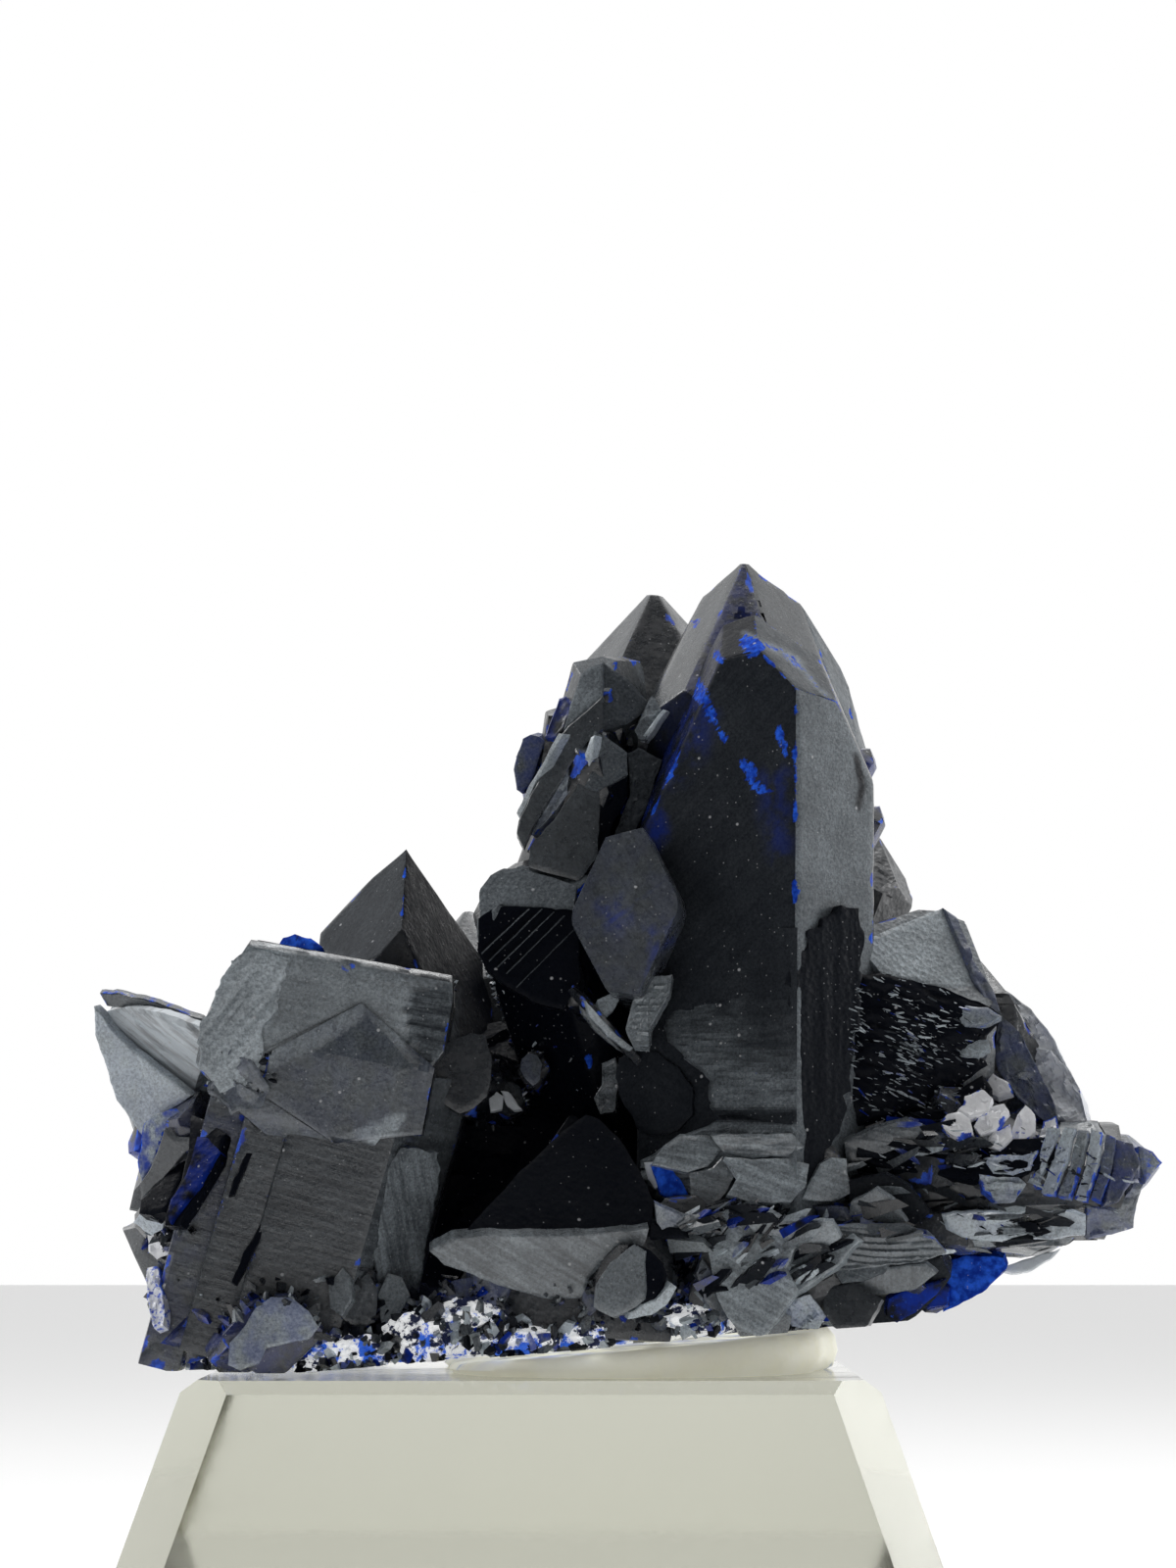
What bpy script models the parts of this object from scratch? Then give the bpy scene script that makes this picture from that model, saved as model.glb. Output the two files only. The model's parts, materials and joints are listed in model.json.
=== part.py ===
"""Azurite crystals on their pale matrix, bedded in putty on a clear bevelled block.

Tables are in millimetres, +Z up, -Y towards the viewer, with the origin at the centre of the
block's underside. Every crystal is a block cut along flat faces, and all of them are grown
together into one solid.
"""

import math
import random

import bmesh
import bpy
from mathutils import Matrix, Quaternion, Vector, noise

MM = 0.001
CLEARANCE = 0.3
LUMP_CLEARANCE = 0.4
NO_CUT = 1e-4

BLOCK_FOOT = 38.0
BLOCK_TOP = 30.0
BLOCK_HEIGHT = 12.0
BLOCK_CORNER = 1.4
BLOCK_EDGE = 0.35

AZURITE_COLOUR = (0.03, 0.04, 0.09)
MATRIX_COLOUR = (0.58, 0.56, 0.52)
PUTTY_COLOUR = (0.72, 0.70, 0.56)
BLOCK_COLOUR = (0.94, 0.95, 0.91)
BLOCK_IOR = 1.49

# The broken underside of the specimen tilts up to the right: z = SEAT_Z + SEAT_RISE * x.
SEAT_Z = 14.2
SEAT_RISE = 0.08
MATRIX_BOTTOM = 13.1
FAR = 90.0
SEAT_OUTLINE = (
    (-15.5, -8.9), (-12.0, -11.2), (-4.0, -11.8), (4.0, -11.4), (11.0, -9.8), (14.5, -5.8),
    (15.0, 3.0), (12.0, 9.5), (4.0, 12.0), (-6.0, 11.5), (-13.0, 8.5), (-16.0, 1.0),
)
PUTTY_OUTLINE = (
    (-2.6, -10.6), (1.0, -12.8), (7.0, -12.4), (11.6, -9.6), (13.4, -4.0),
    (13.2, 4.0), (9.0, 9.3), (1.5, 10.6), (-2.8, 7.6), (-3.4, -2.0),
)

# A habit lists the cuts of a crystal in its own unit block, which is 2 wide, 2 deep and 1 long:
# sides (turn, reach): a face along the axis, that far out; turn 0 is its right, 90 its front
# tips (turn, at_axis, at_side): a face through the axis at one height and the side at another
# feet (turn, at_axis, at_side): the same, cutting away what is below
HABITS = {
    "tall_spire": {
        "sides": ((128, 0.90), (38, 0.94), (222, 0.92), (318, 0.92)),
        "tips": ((38, 1.0, 0.76), (14, 1.08, 0.735), (8, 1.29, 0.70), (98, 1.0, 0.78),
                 (152, 1.0, 0.77), (178, 1.06, 0.72), (270, 1.0, 0.72), (0, 0.995, 0.99)),
    },
    "front_spire": {
        "sides": ((122, 0.67), (38, 0.83), (215, 0.90), (325, 0.92)),
        "tips": ((130, 1.01, 0.86), (36, 1.0, 0.82), (168, 1.12, 0.66), (8, 1.16, 0.74),
                 (270, 1.0, 0.80)),
    },
    "spire": {
        "sides": ((42, 0.98), (140, 0.90), (220, 0.95), (318, 0.96)),
        "tips": ((20, 1.0, 0.78), (88, 1.0, 0.76), (152, 1.0, 0.80), (262, 1.0, 0.74),
                 (0, 0.985, 0.97)),
    },
    "pyramid": {
        "sides": ((132, 0.94), (28, 0.96), (225, 0.96)),
        "tips": ((140, 1.0, 0.70), (22, 1.0, 0.48), (176, 1.02, 0.80), (262, 1.0, 0.66)),
    },
    "sloped_head": {
        "sides": ((48, 0.96), (128, 1.0), (222, 0.95), (312, 0.96)),
        "tips": ((108, 1.0, 0.72), (0, 1.0, 0.76), (178, 1.02, 0.88), (268, 1.02, 0.84)),
    },
    "chisel": {
        "sides": ((48, 0.92), (136, 0.88), (224, 0.95), (312, 0.92)),
        "tips": ((8, 1.0, 0.70), (176, 1.0, 0.80), (92, 1.06, 0.88), (268, 1.05, 0.84)),
    },
    "block": {
        "sides": ((44, 1.05), (138, 0.98), (222, 1.05), (316, 1.08)),
        "tips": ((95, 1.03, 0.90), (200, 1.05, 0.90), (20, 1.06, 0.93)),
    },
    "column": {
        "sides": ((40, 1.32), (145, 1.30)),
        "tips": ((95, 1.02, 0.95),),
    },
    "corner_column": {
        "sides": ((44, 0.93), (145, 1.32)),
        "tips": ((95, 1.02, 0.95),),
    },
    "flat_top": {
        "sides": ((60, 1.04), (124, 0.80), (225, 1.0), (320, 1.05)),
        "tips": ((92, 1.01, 0.86), (178, 1.02, 0.84), (12, 1.0, 0.93), (270, 1.02, 0.9)),
    },
    "great_block": {
        "sides": ((50, 1.36), (124, 1.26), (300, 1.0), (240, 1.0)),
        "tips": ((0, 1.01, 0.85), (180, 1.19, 0.63), (90, 1.04, 0.95)),
        "feet": ((180, 0.04, 0.23), (0, -0.06, 0.02)),
    },
    "lozenge": {
        "sides": ((38, 0.80), (140, 0.86), (216, 0.82), (322, 0.88), (95, 0.96), (262, 0.93)),
        "tips": ((60, 1.03, 0.93), (250, 1.02, 0.96)),
    },
    "flat_lozenge": {
        "sides": ((38, 0.80), (140, 0.86), (216, 0.82), (322, 0.88), (95, 0.96), (262, 0.93)),
        "tips": ((60, 1.0, 0.985), (250, 1.0, 0.98)),
    },
    "wing": {
        "sides": ((42, 0.52), (128, 0.62), (230, 0.8), (310, 0.8)),
        "tips": ((180, 0.90, 0.70), (0, 1.02, 0.98), (140, 1.0, 0.66), (270, 1.02, 0.8)),
    },
    "roof": {
        "sides": (),
        "tips": ((0, 1.0, 0.66), (180, 1.0, 0.57)),
        "feet": ((0, 0.03, 0.20), (180, 0.03, 0.26)),
    },
    "pitched": {
        "sides": ((64, 1.06), (118, 1.02)),
        "tips": ((90, 1.14, 0.42), (0, 1.02, 0.42), (180, 1.03, 0.22)),
    },
    "long_wing": {
        "sides": ((42, 0.86), (132, 0.84), (230, 0.9), (310, 0.9)),
        "tips": ((180, 0.98, 0.90), (0, 1.03, 0.80), (30, 1.0, 0.86), (270, 1.02, 0.88)),
    },
    "step": {
        "sides": ((38, 0.92), (142, 0.90)),
        "tips": ((180, 1.0, 0.98), (0, 1.0, 0.90), (90, 1.0, 0.98)),
    },
    "ridge": {
        "sides": ((40, 0.56), (142, 0.64), (225, 0.9), (315, 0.9)),
        "tips": ((10, 1.0, 0.85), (170, 1.0, 0.85)),
    },
    "blade": {
        "sides": ((25, 0.93), (160, 0.95), (205, 0.94), (338, 0.95)),
        "tips": ((0, 1.0, 0.86), (180, 1.0, 0.92), (92, 1.03, 0.88), (268, 1.03, 0.90)),
    },
    "layer": {
        "sides": ((150, 1.26), (225, 1.2)),
        "tips": ((95, 1.0, 0.92), (0, 1.0, 0.96)),
    },
    "gem": {
        "sides": ((45, 0.98), (135, 0.95), (225, 0.86), (315, 0.82)),
        "tips": ((180, 1.03, 0.86), (0, 1.0, 0.66)),
    },
    "leaf": {
        "sides": ((45, 0.96), (135, 0.90), (225, 0.95), (315, 1.0)),
        "tips": ((270, 1.0, 0.87), (0, 1.01, 0.97)),
    },
    "side_slope": {
        "sides": ((50, 1.0), (130, 1.0), (220, 0.95), (310, 0.96)),
        "tips": ((0, 1.09, 0.30), (90, 1.08, 0.84), (270, 1.02, 0.84)),
    },
    "broad_head": {
        "sides": ((52, 1.16), (130, 1.10), (222, 0.95), (312, 0.96)),
        "tips": ((78, 1.0, 0.70), (0, 1.02, 0.94), (0, 1.36, 0.70), (180, 1.0, 0.90),
                 (268, 1.02, 0.84)),
    },
}

# Each crystal: foot, tip, width, depth, roll about its axis in degrees, habit.
SPIRES = {
    "main_spire": ((9.8, 1.5, 15.0), (9.8, -1.0, 49.6), 12.0, 11.0, 0, "tall_spire"),
    "front_spire": ((9.9, -8.3, 16.5), (10.3, -5.0, 46.4), 10.6, 9.0, 0, "front_spire"),
    "rear_spire": ((6.6, 8.0, 20.0), (5.7, 7.0, 49.5), 8.4, 8.0, 0, "spire"),
    "shoulder_spire": ((12.0, 2.0, 26.0), (16.2, 2.0, 37.0), 5.4, 6.0, 0, "spire"),
    "upper_bump": ((13.4, -1.0, 36.5), (15.6, -2.0, 40.6), 1.5, 2.2, 0, "blade"),
    "lower_bump": ((13.8, 0.0, 33.5), (16.1, -1.0, 38.0), 1.4, 2.2, 0, "blade"),
}
LEANING_GROUP = {
    "lean_tall": ((1.0, 1.5, 34.0), (4.2, -0.6, 44.4), 4.0, 7.0, 0, "block"),
    "lean_front": ((0.6, -2.0, 33.3), (3.6, -4.2, 40.7), 3.7, 5.6, 0, "block"),
    "lean_left": ((0.1, 0.5, 36.0), (2.0, -0.8, 43.4), 1.5, 6.0, 0, "blade"),
    "lean_plate": ((0.0, -3.0, 35.8), (2.7, -4.5, 41.4), 0.7, 2.8, 0, "blade"),
    "lean_chip_high": ((0.6, -2.0, 39.0), (1.1, -2.4, 42.5), 1.2, 2.2, 0, "blade"),
    "lean_chip_low": ((0.6, -1.0, 36.2), (-0.2, -1.5, 40.8), 1.6, 2.4, 0, "blade"),
    "lean_inner": ((4.4, -1.0, 37.0), (5.3, -2.6, 42.4), 1.8, 2.6, 0, "chisel"),
}
MIDDLE_GROUP = {
    "striped_block": ((3.0, -1.0, 23.8), (-0.5, -5.0, 35.0), 5.8, 7.0, 0, "flat_top"),
    "lozenge": ((5.4, -2.5, 31.6), (4.1, -10.5, 32.5), 4.8, 7.7, 0, "flat_lozenge"),
    "cavity_plate": ((-1.0, -2.0, 24.4), (-3.2, -6.5, 25.1), 2.6, 3.4, 0, "lozenge"),
    "cavity_bud": ((0.5, 1.0, 25.0), (0.0, -5.0, 25.6), 1.5, 2.0, 0, "lozenge"),
    "cavity_glint": ((-0.6, 0.0, 23.4), (-1.3, -5.5, 24.3), 1.7, 1.4, 20, "block"),
    "sliver": ((3.4, -2.5, 27.6), (1.7, -8.0, 29.6), 1.0, 2.2, 0, "blade"),
    "thin_blade": ((5.2, -6.0, 25.4), (1.9, -9.4, 29.0), 0.6, 3.0, 0, "blade"),
    "dark_wedge": ((1.3, -8.6, 13.6), (1.8, -8.0, 23.4), 9.6, 9.4, 0, "pitched"),
    "low_gem": ((4.3, -6.0, 16.6), (4.2, -14.2, 16.3), 3.5, 3.1, 0, "gem"),
}
LEFT_GROUP = {
    "left_pyramid": ((-6.2, 2.0, 16.0), (-6.1, 1.5, 36.2), 8.2, 8.4, 0, "pyramid"),
    "left_far_bud": ((-9.5, 3.0, 24.0), (-11.6, 4.0, 32.3), 3.0, 3.4, 0, "spire"),
    "great_block": ((-4.1, -7.4, 25.3), (-14.7, -7.6, 27.2), 8.6, 11.0, 0, "great_block"),
    "growth_plate": ((-8.6, -9.0, 22.0), (-7.4, -9.0, 28.3), 7.4, 8.3, 0, "roof"),
    "wing": ((-10.5, -4.0, 23.2), (-19.9, -6.0, 26.3), 5.9, 5.4, 0, "wing"),
    "left_blue": ((-14.0, -4.0, 20.5), (-17.8, -7.0, 23.0), 2.6, 1.8, 0, "blade"),
    "left_prism": ((-16.2, -6.0, 18.0), (-14.9, -9.0, 24.4), 2.7, 3.6, 0, "chisel"),
    "left_prism_low": ((-13.5, -6.0, 20.5), (-17.6, -8.2, 18.6), 2.3, 3.4, 0, "chisel"),
    "column_right": ((-9.7, -6.2, 13.6), (-6.2, -6.2, 26.0), 7.4, 12.8, 0, "corner_column"),
    "column_middle": ((-14.3, -6.2, 13.0), (-10.7, -6.2, 26.0), 2.3, 12.5, 0, "column"),
    "column_left": ((-16.3, -5.9, 12.4), (-12.7, -5.9, 26.0), 2.0, 11.4, 0, "column"),
    "lavender_stub": ((-11.4, -8.0, 14.4), (-11.1, -14.6, 13.9), 4.4, 3.5, 0, "lozenge"),
    "corner_stub": ((-9.8, -9.0, 15.2), (-13.7, -14.0, 12.9), 2.6, 2.4, 0, "chisel"),
    "corner_prism": ((-11.5, -7.0, 15.5), (-16.2, -11.6, 13.5), 2.8, 2.6, 0, "chisel"),
}
RIGHT_GROUP = {
    "right_block": ((16.7, -2.6, 19.0), (17.7, -3.6, 33.0), 7.4, 9.0, 0, "broad_head"),
    "right_back_block": ((19.8, -0.6, 19.4), (19.8, -0.8, 31.0), 11.6, 8.6, 0, "side_slope"),
    "right_ridge": ((18.0, -2.0, 21.0), (24.2, -3.4, 24.6), 3.4, 6.0, 0, "chisel"),
    "right_rear_bud": ((19.0, 2.0, 24.2), (24.3, 1.0, 27.4), 1.7, 2.6, 0, "spire"),
    "right_wing": ((10.0, -4.0, 19.8), (27.4, -6.0, 20.6), 5.6, 8.4, 0, "long_wing"),
    "wing_point": ((22.0, -5.0, 20.7), (28.2, -6.2, 21.2), 3.2, 5.6, 0, "chisel"),
    "glare_high": ((18.0, -2.0, 22.4), (19.8, -8.8, 23.6), 3.9, 2.4, -24, "leaf"),
    "glare_middle": ((19.5, -2.0, 21.8), (21.5, -8.9, 22.6), 3.2, 1.9, -20, "leaf"),
    "glare_low": ((21.5, -2.0, 21.6), (23.4, -8.6, 22.3), 2.4, 1.3, -16, "leaf"),
    "sweep_high": ((12.0, -5.0, 22.9), (18.6, -8.9, 21.6), 1.4, 4.2, 10, "blade"),
    "sweep_low": ((12.0, -5.0, 21.2), (19.4, -9.7, 20.4), 2.0, 4.0, -12, "blade"),
    "fan_1": ((11.0, -5.0, 20.6), (15.8, -9.9, 19.0), 3.2, 2.2, 35, "blade"),
    "fan_2": ((13.6, -4.0, 19.4), (19.2, -9.5, 18.7), 2.2, 3.4, 15, "block"),
    "under_crystal": ((5.0, -6.4, 18.0), (18.0, -8.6, 15.8), 4.4, 8.4, 0, "ridge"),
    "under_plate": ((8.0, -6.0, 19.6), (21.4, -8.8, 18.0), 2.0, 6.6, 0, "blade"),
    "blue_shard": ((13.0, -4.0, 18.0), (21.3, -6.4, 16.6), 2.4, 2.2, 0, "blade"),
    "blue_shard_low": ((15.0, -5.0, 17.8), (18.6, -7.0, 15.0), 1.8, 1.5, 0, "blade"),
    "pale_plate": ((14.0, -1.0, 18.8), (24.2, -4.0, 17.8), 1.6, 4.2, 0, "blade"),
    "foot_facet": ((9.4, -5.0, 17.4), (9.3, -12.7, 16.7), 5.6, 4.4, 28, "lozenge"),
    "foot_rod": ((9.0, -9.4, 15.7), (16.4, -9.2, 19.2), 1.7, 4.6, 0, "blade"),
    "foot_wedge": ((8.0, -6.0, 19.0), (7.0, -12.4, 18.6), 3.4, 2.4, -30, "leaf"),
    "foot_low": ((11.5, -6.0, 16.6), (13.0, -12.2, 15.9), 4.2, 2.6, 15, "block"),
    "side_slab": ((12.0, -4.0, 21.6), (12.7, -11.3, 20.9), 2.2, 2.6, -20, "leaf"),
}
REAR_GROUP = {
    "rear_left": ((-6.0, 5.0, 15.5), (-10.0, 12.6, 29.6), 7.0, 6.4, 20, "spire"),
    "rear_bud": ((-1.0, 6.0, 17.0), (-3.4, 8.0, 33.9), 6.0, 6.4, 0, "spire"),
    "rear_tall": ((6.0, 5.0, 17.0), (8.2, 12.0, 41.5), 8.0, 7.4, 30, "tall_spire"),
    "rear_right": ((11.0, 5.0, 17.0), (15.4, 11.4, 32.6), 7.0, 6.4, -10, "pyramid"),
    "rear_low_left": ((-11.0, 2.0, 16.5), (-16.8, 7.6, 23.4), 6.4, 5.4, 0, "chisel"),
    "rear_low_right": ((12.0, 5.0, 18.5), (20.0, 10.6, 22.6), 5.4, 6.0, 0, "chisel"),
    "rear_middle": ((2.0, 6.0, 16.5), (2.4, 16.0, 24.6), 7.0, 6.4, 10, "block"),
    "rear_foot_left": ((-7.0, 6.0, 16.0), (-8.6, 14.6, 18.6), 6.4, 4.8, 0, "lozenge"),
    "rear_foot_right": ((8.0, 6.0, 16.5), (10.6, 15.2, 18.8), 6.4, 5.0, 0, "lozenge"),
    "left_low": ((-9.0, -1.0, 15.5), (-19.0, -1.4, 18.4), 4.8, 4.4, 0, "chisel"),
    "left_side_bud": ((-12.0, -3.0, 19.0), (-18.2, -3.6, 20.4), 2.6, 2.8, 25, "lozenge"),
    "rear_blade": ((1.0, 4.0, 26.0), (-3.6, 11.0, 30.6), 4.0, 2.2, 20, "blade"),
    "rear_blade_right": ((12.0, 4.0, 22.0), (19.6, 9.6, 28.0), 4.4, 2.4, -15, "blade"),
}
CORE_CENTRE = (1.0, 3.5, 20.5)
CORE_RADII = (14.0, 8.0, 7.5)

# Broken layers on the lower left face of the front spire: bottom, top, left edge.
LEDGES = (
    (18.2, 19.6, 8.2), (19.3, 20.9, 5.6), (20.6, 22.0, 5.1), (21.8, 22.9, 5.9), (22.7, 23.8, 7.0),
    (23.6, 24.7, 7.4), (24.5, 25.5, 6.9), (25.3, 26.4, 5.6), (26.2, 27.8, 4.3), (27.6, 29.0, 4.4),
    (28.8, 30.0, 6.4),
)
LEDGE_ROLL = -18
LEDGE_DEPTH = 6.4
LEDGE_CORNER = (1.2, -4.05)  # from the spire's axis
LEDGE_JITTER = 0.1

WING_STEPS = 5
WING_STEP_FOOT = (17.5, -5.4, 20.5)
WING_STEP_TIP = (26.8, -6.0, 20.55)
WING_STEP_RUN = 0.95
WING_STEP_WIDTH = (5.2, -0.34)  # of the lowest step, and what each next one adds
WING_STEP_DEPTH = (8.2, 0.30)

RIM_COUNT = 72
RIM_RADII = (12.3, 9.8)
RIM_LENGTH = (2.6, 4.2)
RIM_WIDTH = (0.9, 2.3)
RIM_HEIGHT = (-0.1, 1.3)  # above the seat
RIM_HABITS = ("chisel", "block", "spire", "lozenge", "blade")

# Lumps of the matrix that show between the crystals' feet: centre, radii.
MATRIX_LUMPS = (
    ((-8.2, -12.4, 13.1), (1.9, 1.3, 0.9)), ((-4.7, -12.8, 13.9), (1.3, 1.0, 1.0)),
    ((-2.8, -12.6, 14.7), (1.5, 1.0, 0.7)), ((-0.6, -13.2, 13.7), (1.5, 1.0, 0.6)),
    ((2.2, -12.8, 13.8), (1.0, 0.9, 0.7)), ((6.9, -12.4, 14.6), (1.0, 0.9, 0.6)),
    ((11.8, -9.8, 14.8), (1.2, 1.2, 0.7)), ((-14.6, -9.6, 13.3), (1.0, 1.2, 0.8)),
    ((-16.0, -2.0, 13.4), (0.9, 1.6, 0.8)), ((15.0, 1.0, 15.2), (0.9, 1.7, 0.8)),
    ((9.0, 10.8, 14.7), (1.6, 0.9, 0.8)), ((0.0, 12.0, 14.2), (1.9, 1.0, 0.9)),
    ((-9.0, 10.4, 13.5), (1.6, 1.0, 0.9)),
)
LUMP_ROUGHNESS = 0.35
LUMP_GRAIN = 1.7


def clear_scene():
    for obj in list(bpy.data.objects):
        bpy.data.objects.remove(obj)


def new_collection(name):
    collection = bpy.data.collections.new(name)
    bpy.context.scene.collection.children.link(collection)
    return collection


def material(name, colour, roughness, transmission=0.0, ior=1.5):
    made = bpy.data.materials.new(name)
    made.use_nodes = True
    shader = made.node_tree.nodes["Principled BSDF"]
    shader.inputs["Base Color"].default_value = (*colour, 1.0)
    shader.inputs["Roughness"].default_value = roughness
    shader.inputs["Transmission Weight"].default_value = transmission
    shader.inputs["IOR"].default_value = ior
    return made


def crystal_axes(foot, tip, roll):
    """The crystal's own right, front and length directions."""
    axis = (tip - foot).normalized()
    right = Vector((0, 1, 0)).cross(axis)
    if right.length < 0.5:  # it points at the viewer
        right = Vector((1, 0, 0))
    right = (right - axis * right.dot(axis)).normalized()
    right.rotate(Quaternion(axis, math.radians(roll)))
    return right, right.cross(axis), axis


def unit_faces(habit):
    """The habit's faces as (normal, distance) in the unit block."""
    faces = [(Vector((1, 0, 0)), 1), (Vector((-1, 0, 0)), 1), (Vector((0, 1, 0)), 1),
             (Vector((0, -1, 0)), 1), (Vector((0, 0, 1)), 1), (Vector((0, 0, -1)), 0)]
    for turn, reach in habit.get("sides", ()):
        angle = math.radians(turn)
        faces.append((Vector((math.cos(angle), math.sin(angle), 0)), reach))
    for sign, cuts in ((1, habit.get("tips", ())), (-1, habit.get("feet", ()))):
        for turn, at_axis, at_side in cuts:
            angle = math.radians(turn)
            slope = sign * (at_axis - at_side)
            normal = Vector((slope * math.cos(angle), slope * math.sin(angle), sign))
            faces.append((normal, sign * at_axis))
    return faces


def crystal_faces(spec):
    """The crystal's faces as planes (normal, distance from the origin)."""
    foot, tip, width, depth, roll, habit = spec
    foot, tip = Vector(foot), Vector(tip)
    right, front, axis = crystal_axes(foot, tip, roll)
    half_width, half_depth, length = width / 2, depth / 2, (tip - foot).length
    planes = []
    for unit, distance in unit_faces(HABITS[habit]):
        normal = right * (unit.x / half_width) + front * (unit.y / half_depth) + axis * (unit.z / length)
        scale = normal.length
        normal.normalize()
        planes.append((normal, distance / scale + normal.dot(foot)))
    return planes


def cut_solid(solid, planes, name):
    """The bmesh in mm cut along each plane in turn, each cut closed, as a mesh in metres."""
    for normal, distance in planes:
        everything = solid.verts[:] + solid.edges[:] + solid.faces[:]
        cut = bmesh.ops.bisect_plane(
            solid, geom=everything, plane_co=normal * distance, plane_no=normal,
            clear_outer=True, dist=NO_CUT,
        )
        rim = [part for part in cut["geom_cut"] if isinstance(part, bmesh.types.BMEdge)]
        if rim and any(edge.is_boundary for edge in rim):
            bmesh.ops.edgeloop_fill(solid, edges=[edge for edge in rim if edge.is_boundary])
    bmesh.ops.recalc_face_normals(solid, faces=solid.faces[:])
    bmesh.ops.scale(solid, vec=(MM, MM, MM), verts=solid.verts[:])
    mesh = bpy.data.meshes.new(name)
    solid.to_mesh(mesh)
    solid.free()
    return mesh


def cut_block(planes, centre, size, name):
    solid = bmesh.new()
    bmesh.ops.create_cube(solid, size=size, matrix=Matrix.Translation(centre))
    return cut_solid(solid, planes, name)


def crystal_mesh(spec):
    foot, tip, width, depth = Vector(spec[0]), Vector(spec[1]), spec[2], spec[3]
    size = 2.5 * ((tip - foot).length + width + depth)
    return cut_block(crystal_faces(spec), (foot + tip) / 2, size, "crystal")


def ledges():
    """Layers that start flush with the front spire's edge and stand proud of its left face."""
    rng = random.Random(11)
    spire_foot, spire_tip = (Vector(end) for end in SPIRES["front_spire"][:2])
    turn = math.radians(LEDGE_ROLL)
    right, front = Vector((math.cos(turn), math.sin(turn))), Vector((math.sin(turn), -math.cos(turn)))
    specs = {}
    for i, (bottom, top, left) in enumerate(LEDGES):
        along = (bottom - spire_foot.z) / (spire_tip.z - spire_foot.z)
        corner = spire_foot.lerp(spire_tip, along).xy + Vector(LEDGE_CORNER)
        corner.y += rng.uniform(-LEDGE_JITTER, LEDGE_JITTER)
        width = (corner.x - left) / right.x
        middle = corner - right * width / 2 - front * LEDGE_DEPTH / 2
        foot = (middle.x, middle.y, bottom)
        tip = (middle.x, middle.y + rng.uniform(0.0, LEDGE_JITTER), top)
        roll = LEDGE_ROLL + rng.uniform(-4, 4)
        specs[f"ledge_{i + 1}"] = (foot, tip, width, LEDGE_DEPTH, roll, "layer")
    return specs


def wing_steps():
    """Growth layers on the end of the right wing, each ending short of the one below it."""
    rng = random.Random(5)
    specs = {}
    for i in range(WING_STEPS):
        x, y, z = WING_STEP_TIP
        tip = (x - WING_STEP_RUN * i - rng.uniform(0, 0.3), y + rng.uniform(-0.1, 0.1), z + 0.08 * i)
        width = WING_STEP_WIDTH[0] + WING_STEP_WIDTH[1] * i
        depth = WING_STEP_DEPTH[0] + WING_STEP_DEPTH[1] * i
        specs[f"wing_step_{i + 1}"] = (WING_STEP_FOOT, tip, width, depth, rng.uniform(-4, 4), "step")
    return specs


def rim_crystals():
    """Small crystals crowded round the foot, pointing out in a ragged row."""
    rng = random.Random(23)
    specs = {}
    for i in range(RIM_COUNT):
        angle = 2 * math.pi * (i + rng.uniform(-0.45, 0.45)) / RIM_COUNT
        x, y = RIM_RADII[0] * math.cos(angle), RIM_RADII[1] * math.sin(angle)
        heading = angle + rng.uniform(-0.5, 0.5)
        out = Vector((math.cos(heading), math.sin(angle) * 0.9, rng.uniform(-0.1, 0.5))).normalized()
        foot = Vector((x, y, SEAT_Z + SEAT_RISE * x + rng.uniform(*RIM_HEIGHT)))
        tip = foot + out * rng.uniform(*RIM_LENGTH)
        width = rng.uniform(*RIM_WIDTH)
        depth = width * rng.uniform(0.6, 1.6)
        roll = rng.uniform(-60, 60)
        specs[f"rim_{i + 1}"] = (tuple(foot), tuple(tip), width, depth, roll, rng.choice(RIM_HABITS))
    return specs


def all_crystals():
    specs = {}
    for group in (SPIRES, LEANING_GROUP, MIDDLE_GROUP, LEFT_GROUP, RIGHT_GROUP, REAR_GROUP,
                  ledges(), wing_steps(), rim_crystals()):
        specs.update(group)
    return specs


def lump_mesh(centre, radii, roughness, planes, name):
    """An icosphere squashed to its radii, pushed in and out by noise and cut along the planes."""
    solid = bmesh.new()
    bmesh.ops.create_icosphere(solid, subdivisions=2, radius=1.0)
    centre = Vector(centre)
    for vert in solid.verts:
        swell = 1.0 + roughness * noise.noise(vert.co * LUMP_GRAIN + centre)
        vert.co = centre + Vector([c * r for c, r in zip(vert.co, radii)]) * swell
    return cut_solid(solid, planes, name)


def sloping_plane(height, rise):
    """The plane z = height + rise * x, keeping what is below it."""
    normal = Vector((-rise, 0, 1)).normalized()
    return normal, normal.z * height


def floor_plane(height, rise):
    """The same plane, keeping what is above it."""
    normal, distance = sloping_plane(height, rise)
    return -normal, -distance


def outline_planes(outline, grow):
    """Upright planes through the sides of a convex outline, moved out by grow."""
    planes = []
    for start, end in zip(outline, outline[1:] + outline[:1]):
        normal = Vector((end[1] - start[1], start[0] - end[0], 0)).normalized()
        planes.append((normal, normal.dot(Vector((*start, 0))) + grow))
    return planes


def add_object(name, mesh, collection, shown=True):
    obj = bpy.data.objects.new(name, mesh)
    collection.objects.link(obj)
    if not shown:
        obj.hide_render = True
        obj.display_type = "WIRE"
    return obj


def boolean(obj, operation, tool):
    """tool is an object, or a collection of them."""
    modifier = obj.modifiers.new(operation.lower(), "BOOLEAN")
    modifier.operation = operation
    modifier.solver = "EXACT"
    if isinstance(tool, bpy.types.Collection):
        modifier.operand_type = "COLLECTION"
        modifier.collection = tool
    else:
        modifier.object = tool
    return modifier


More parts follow.
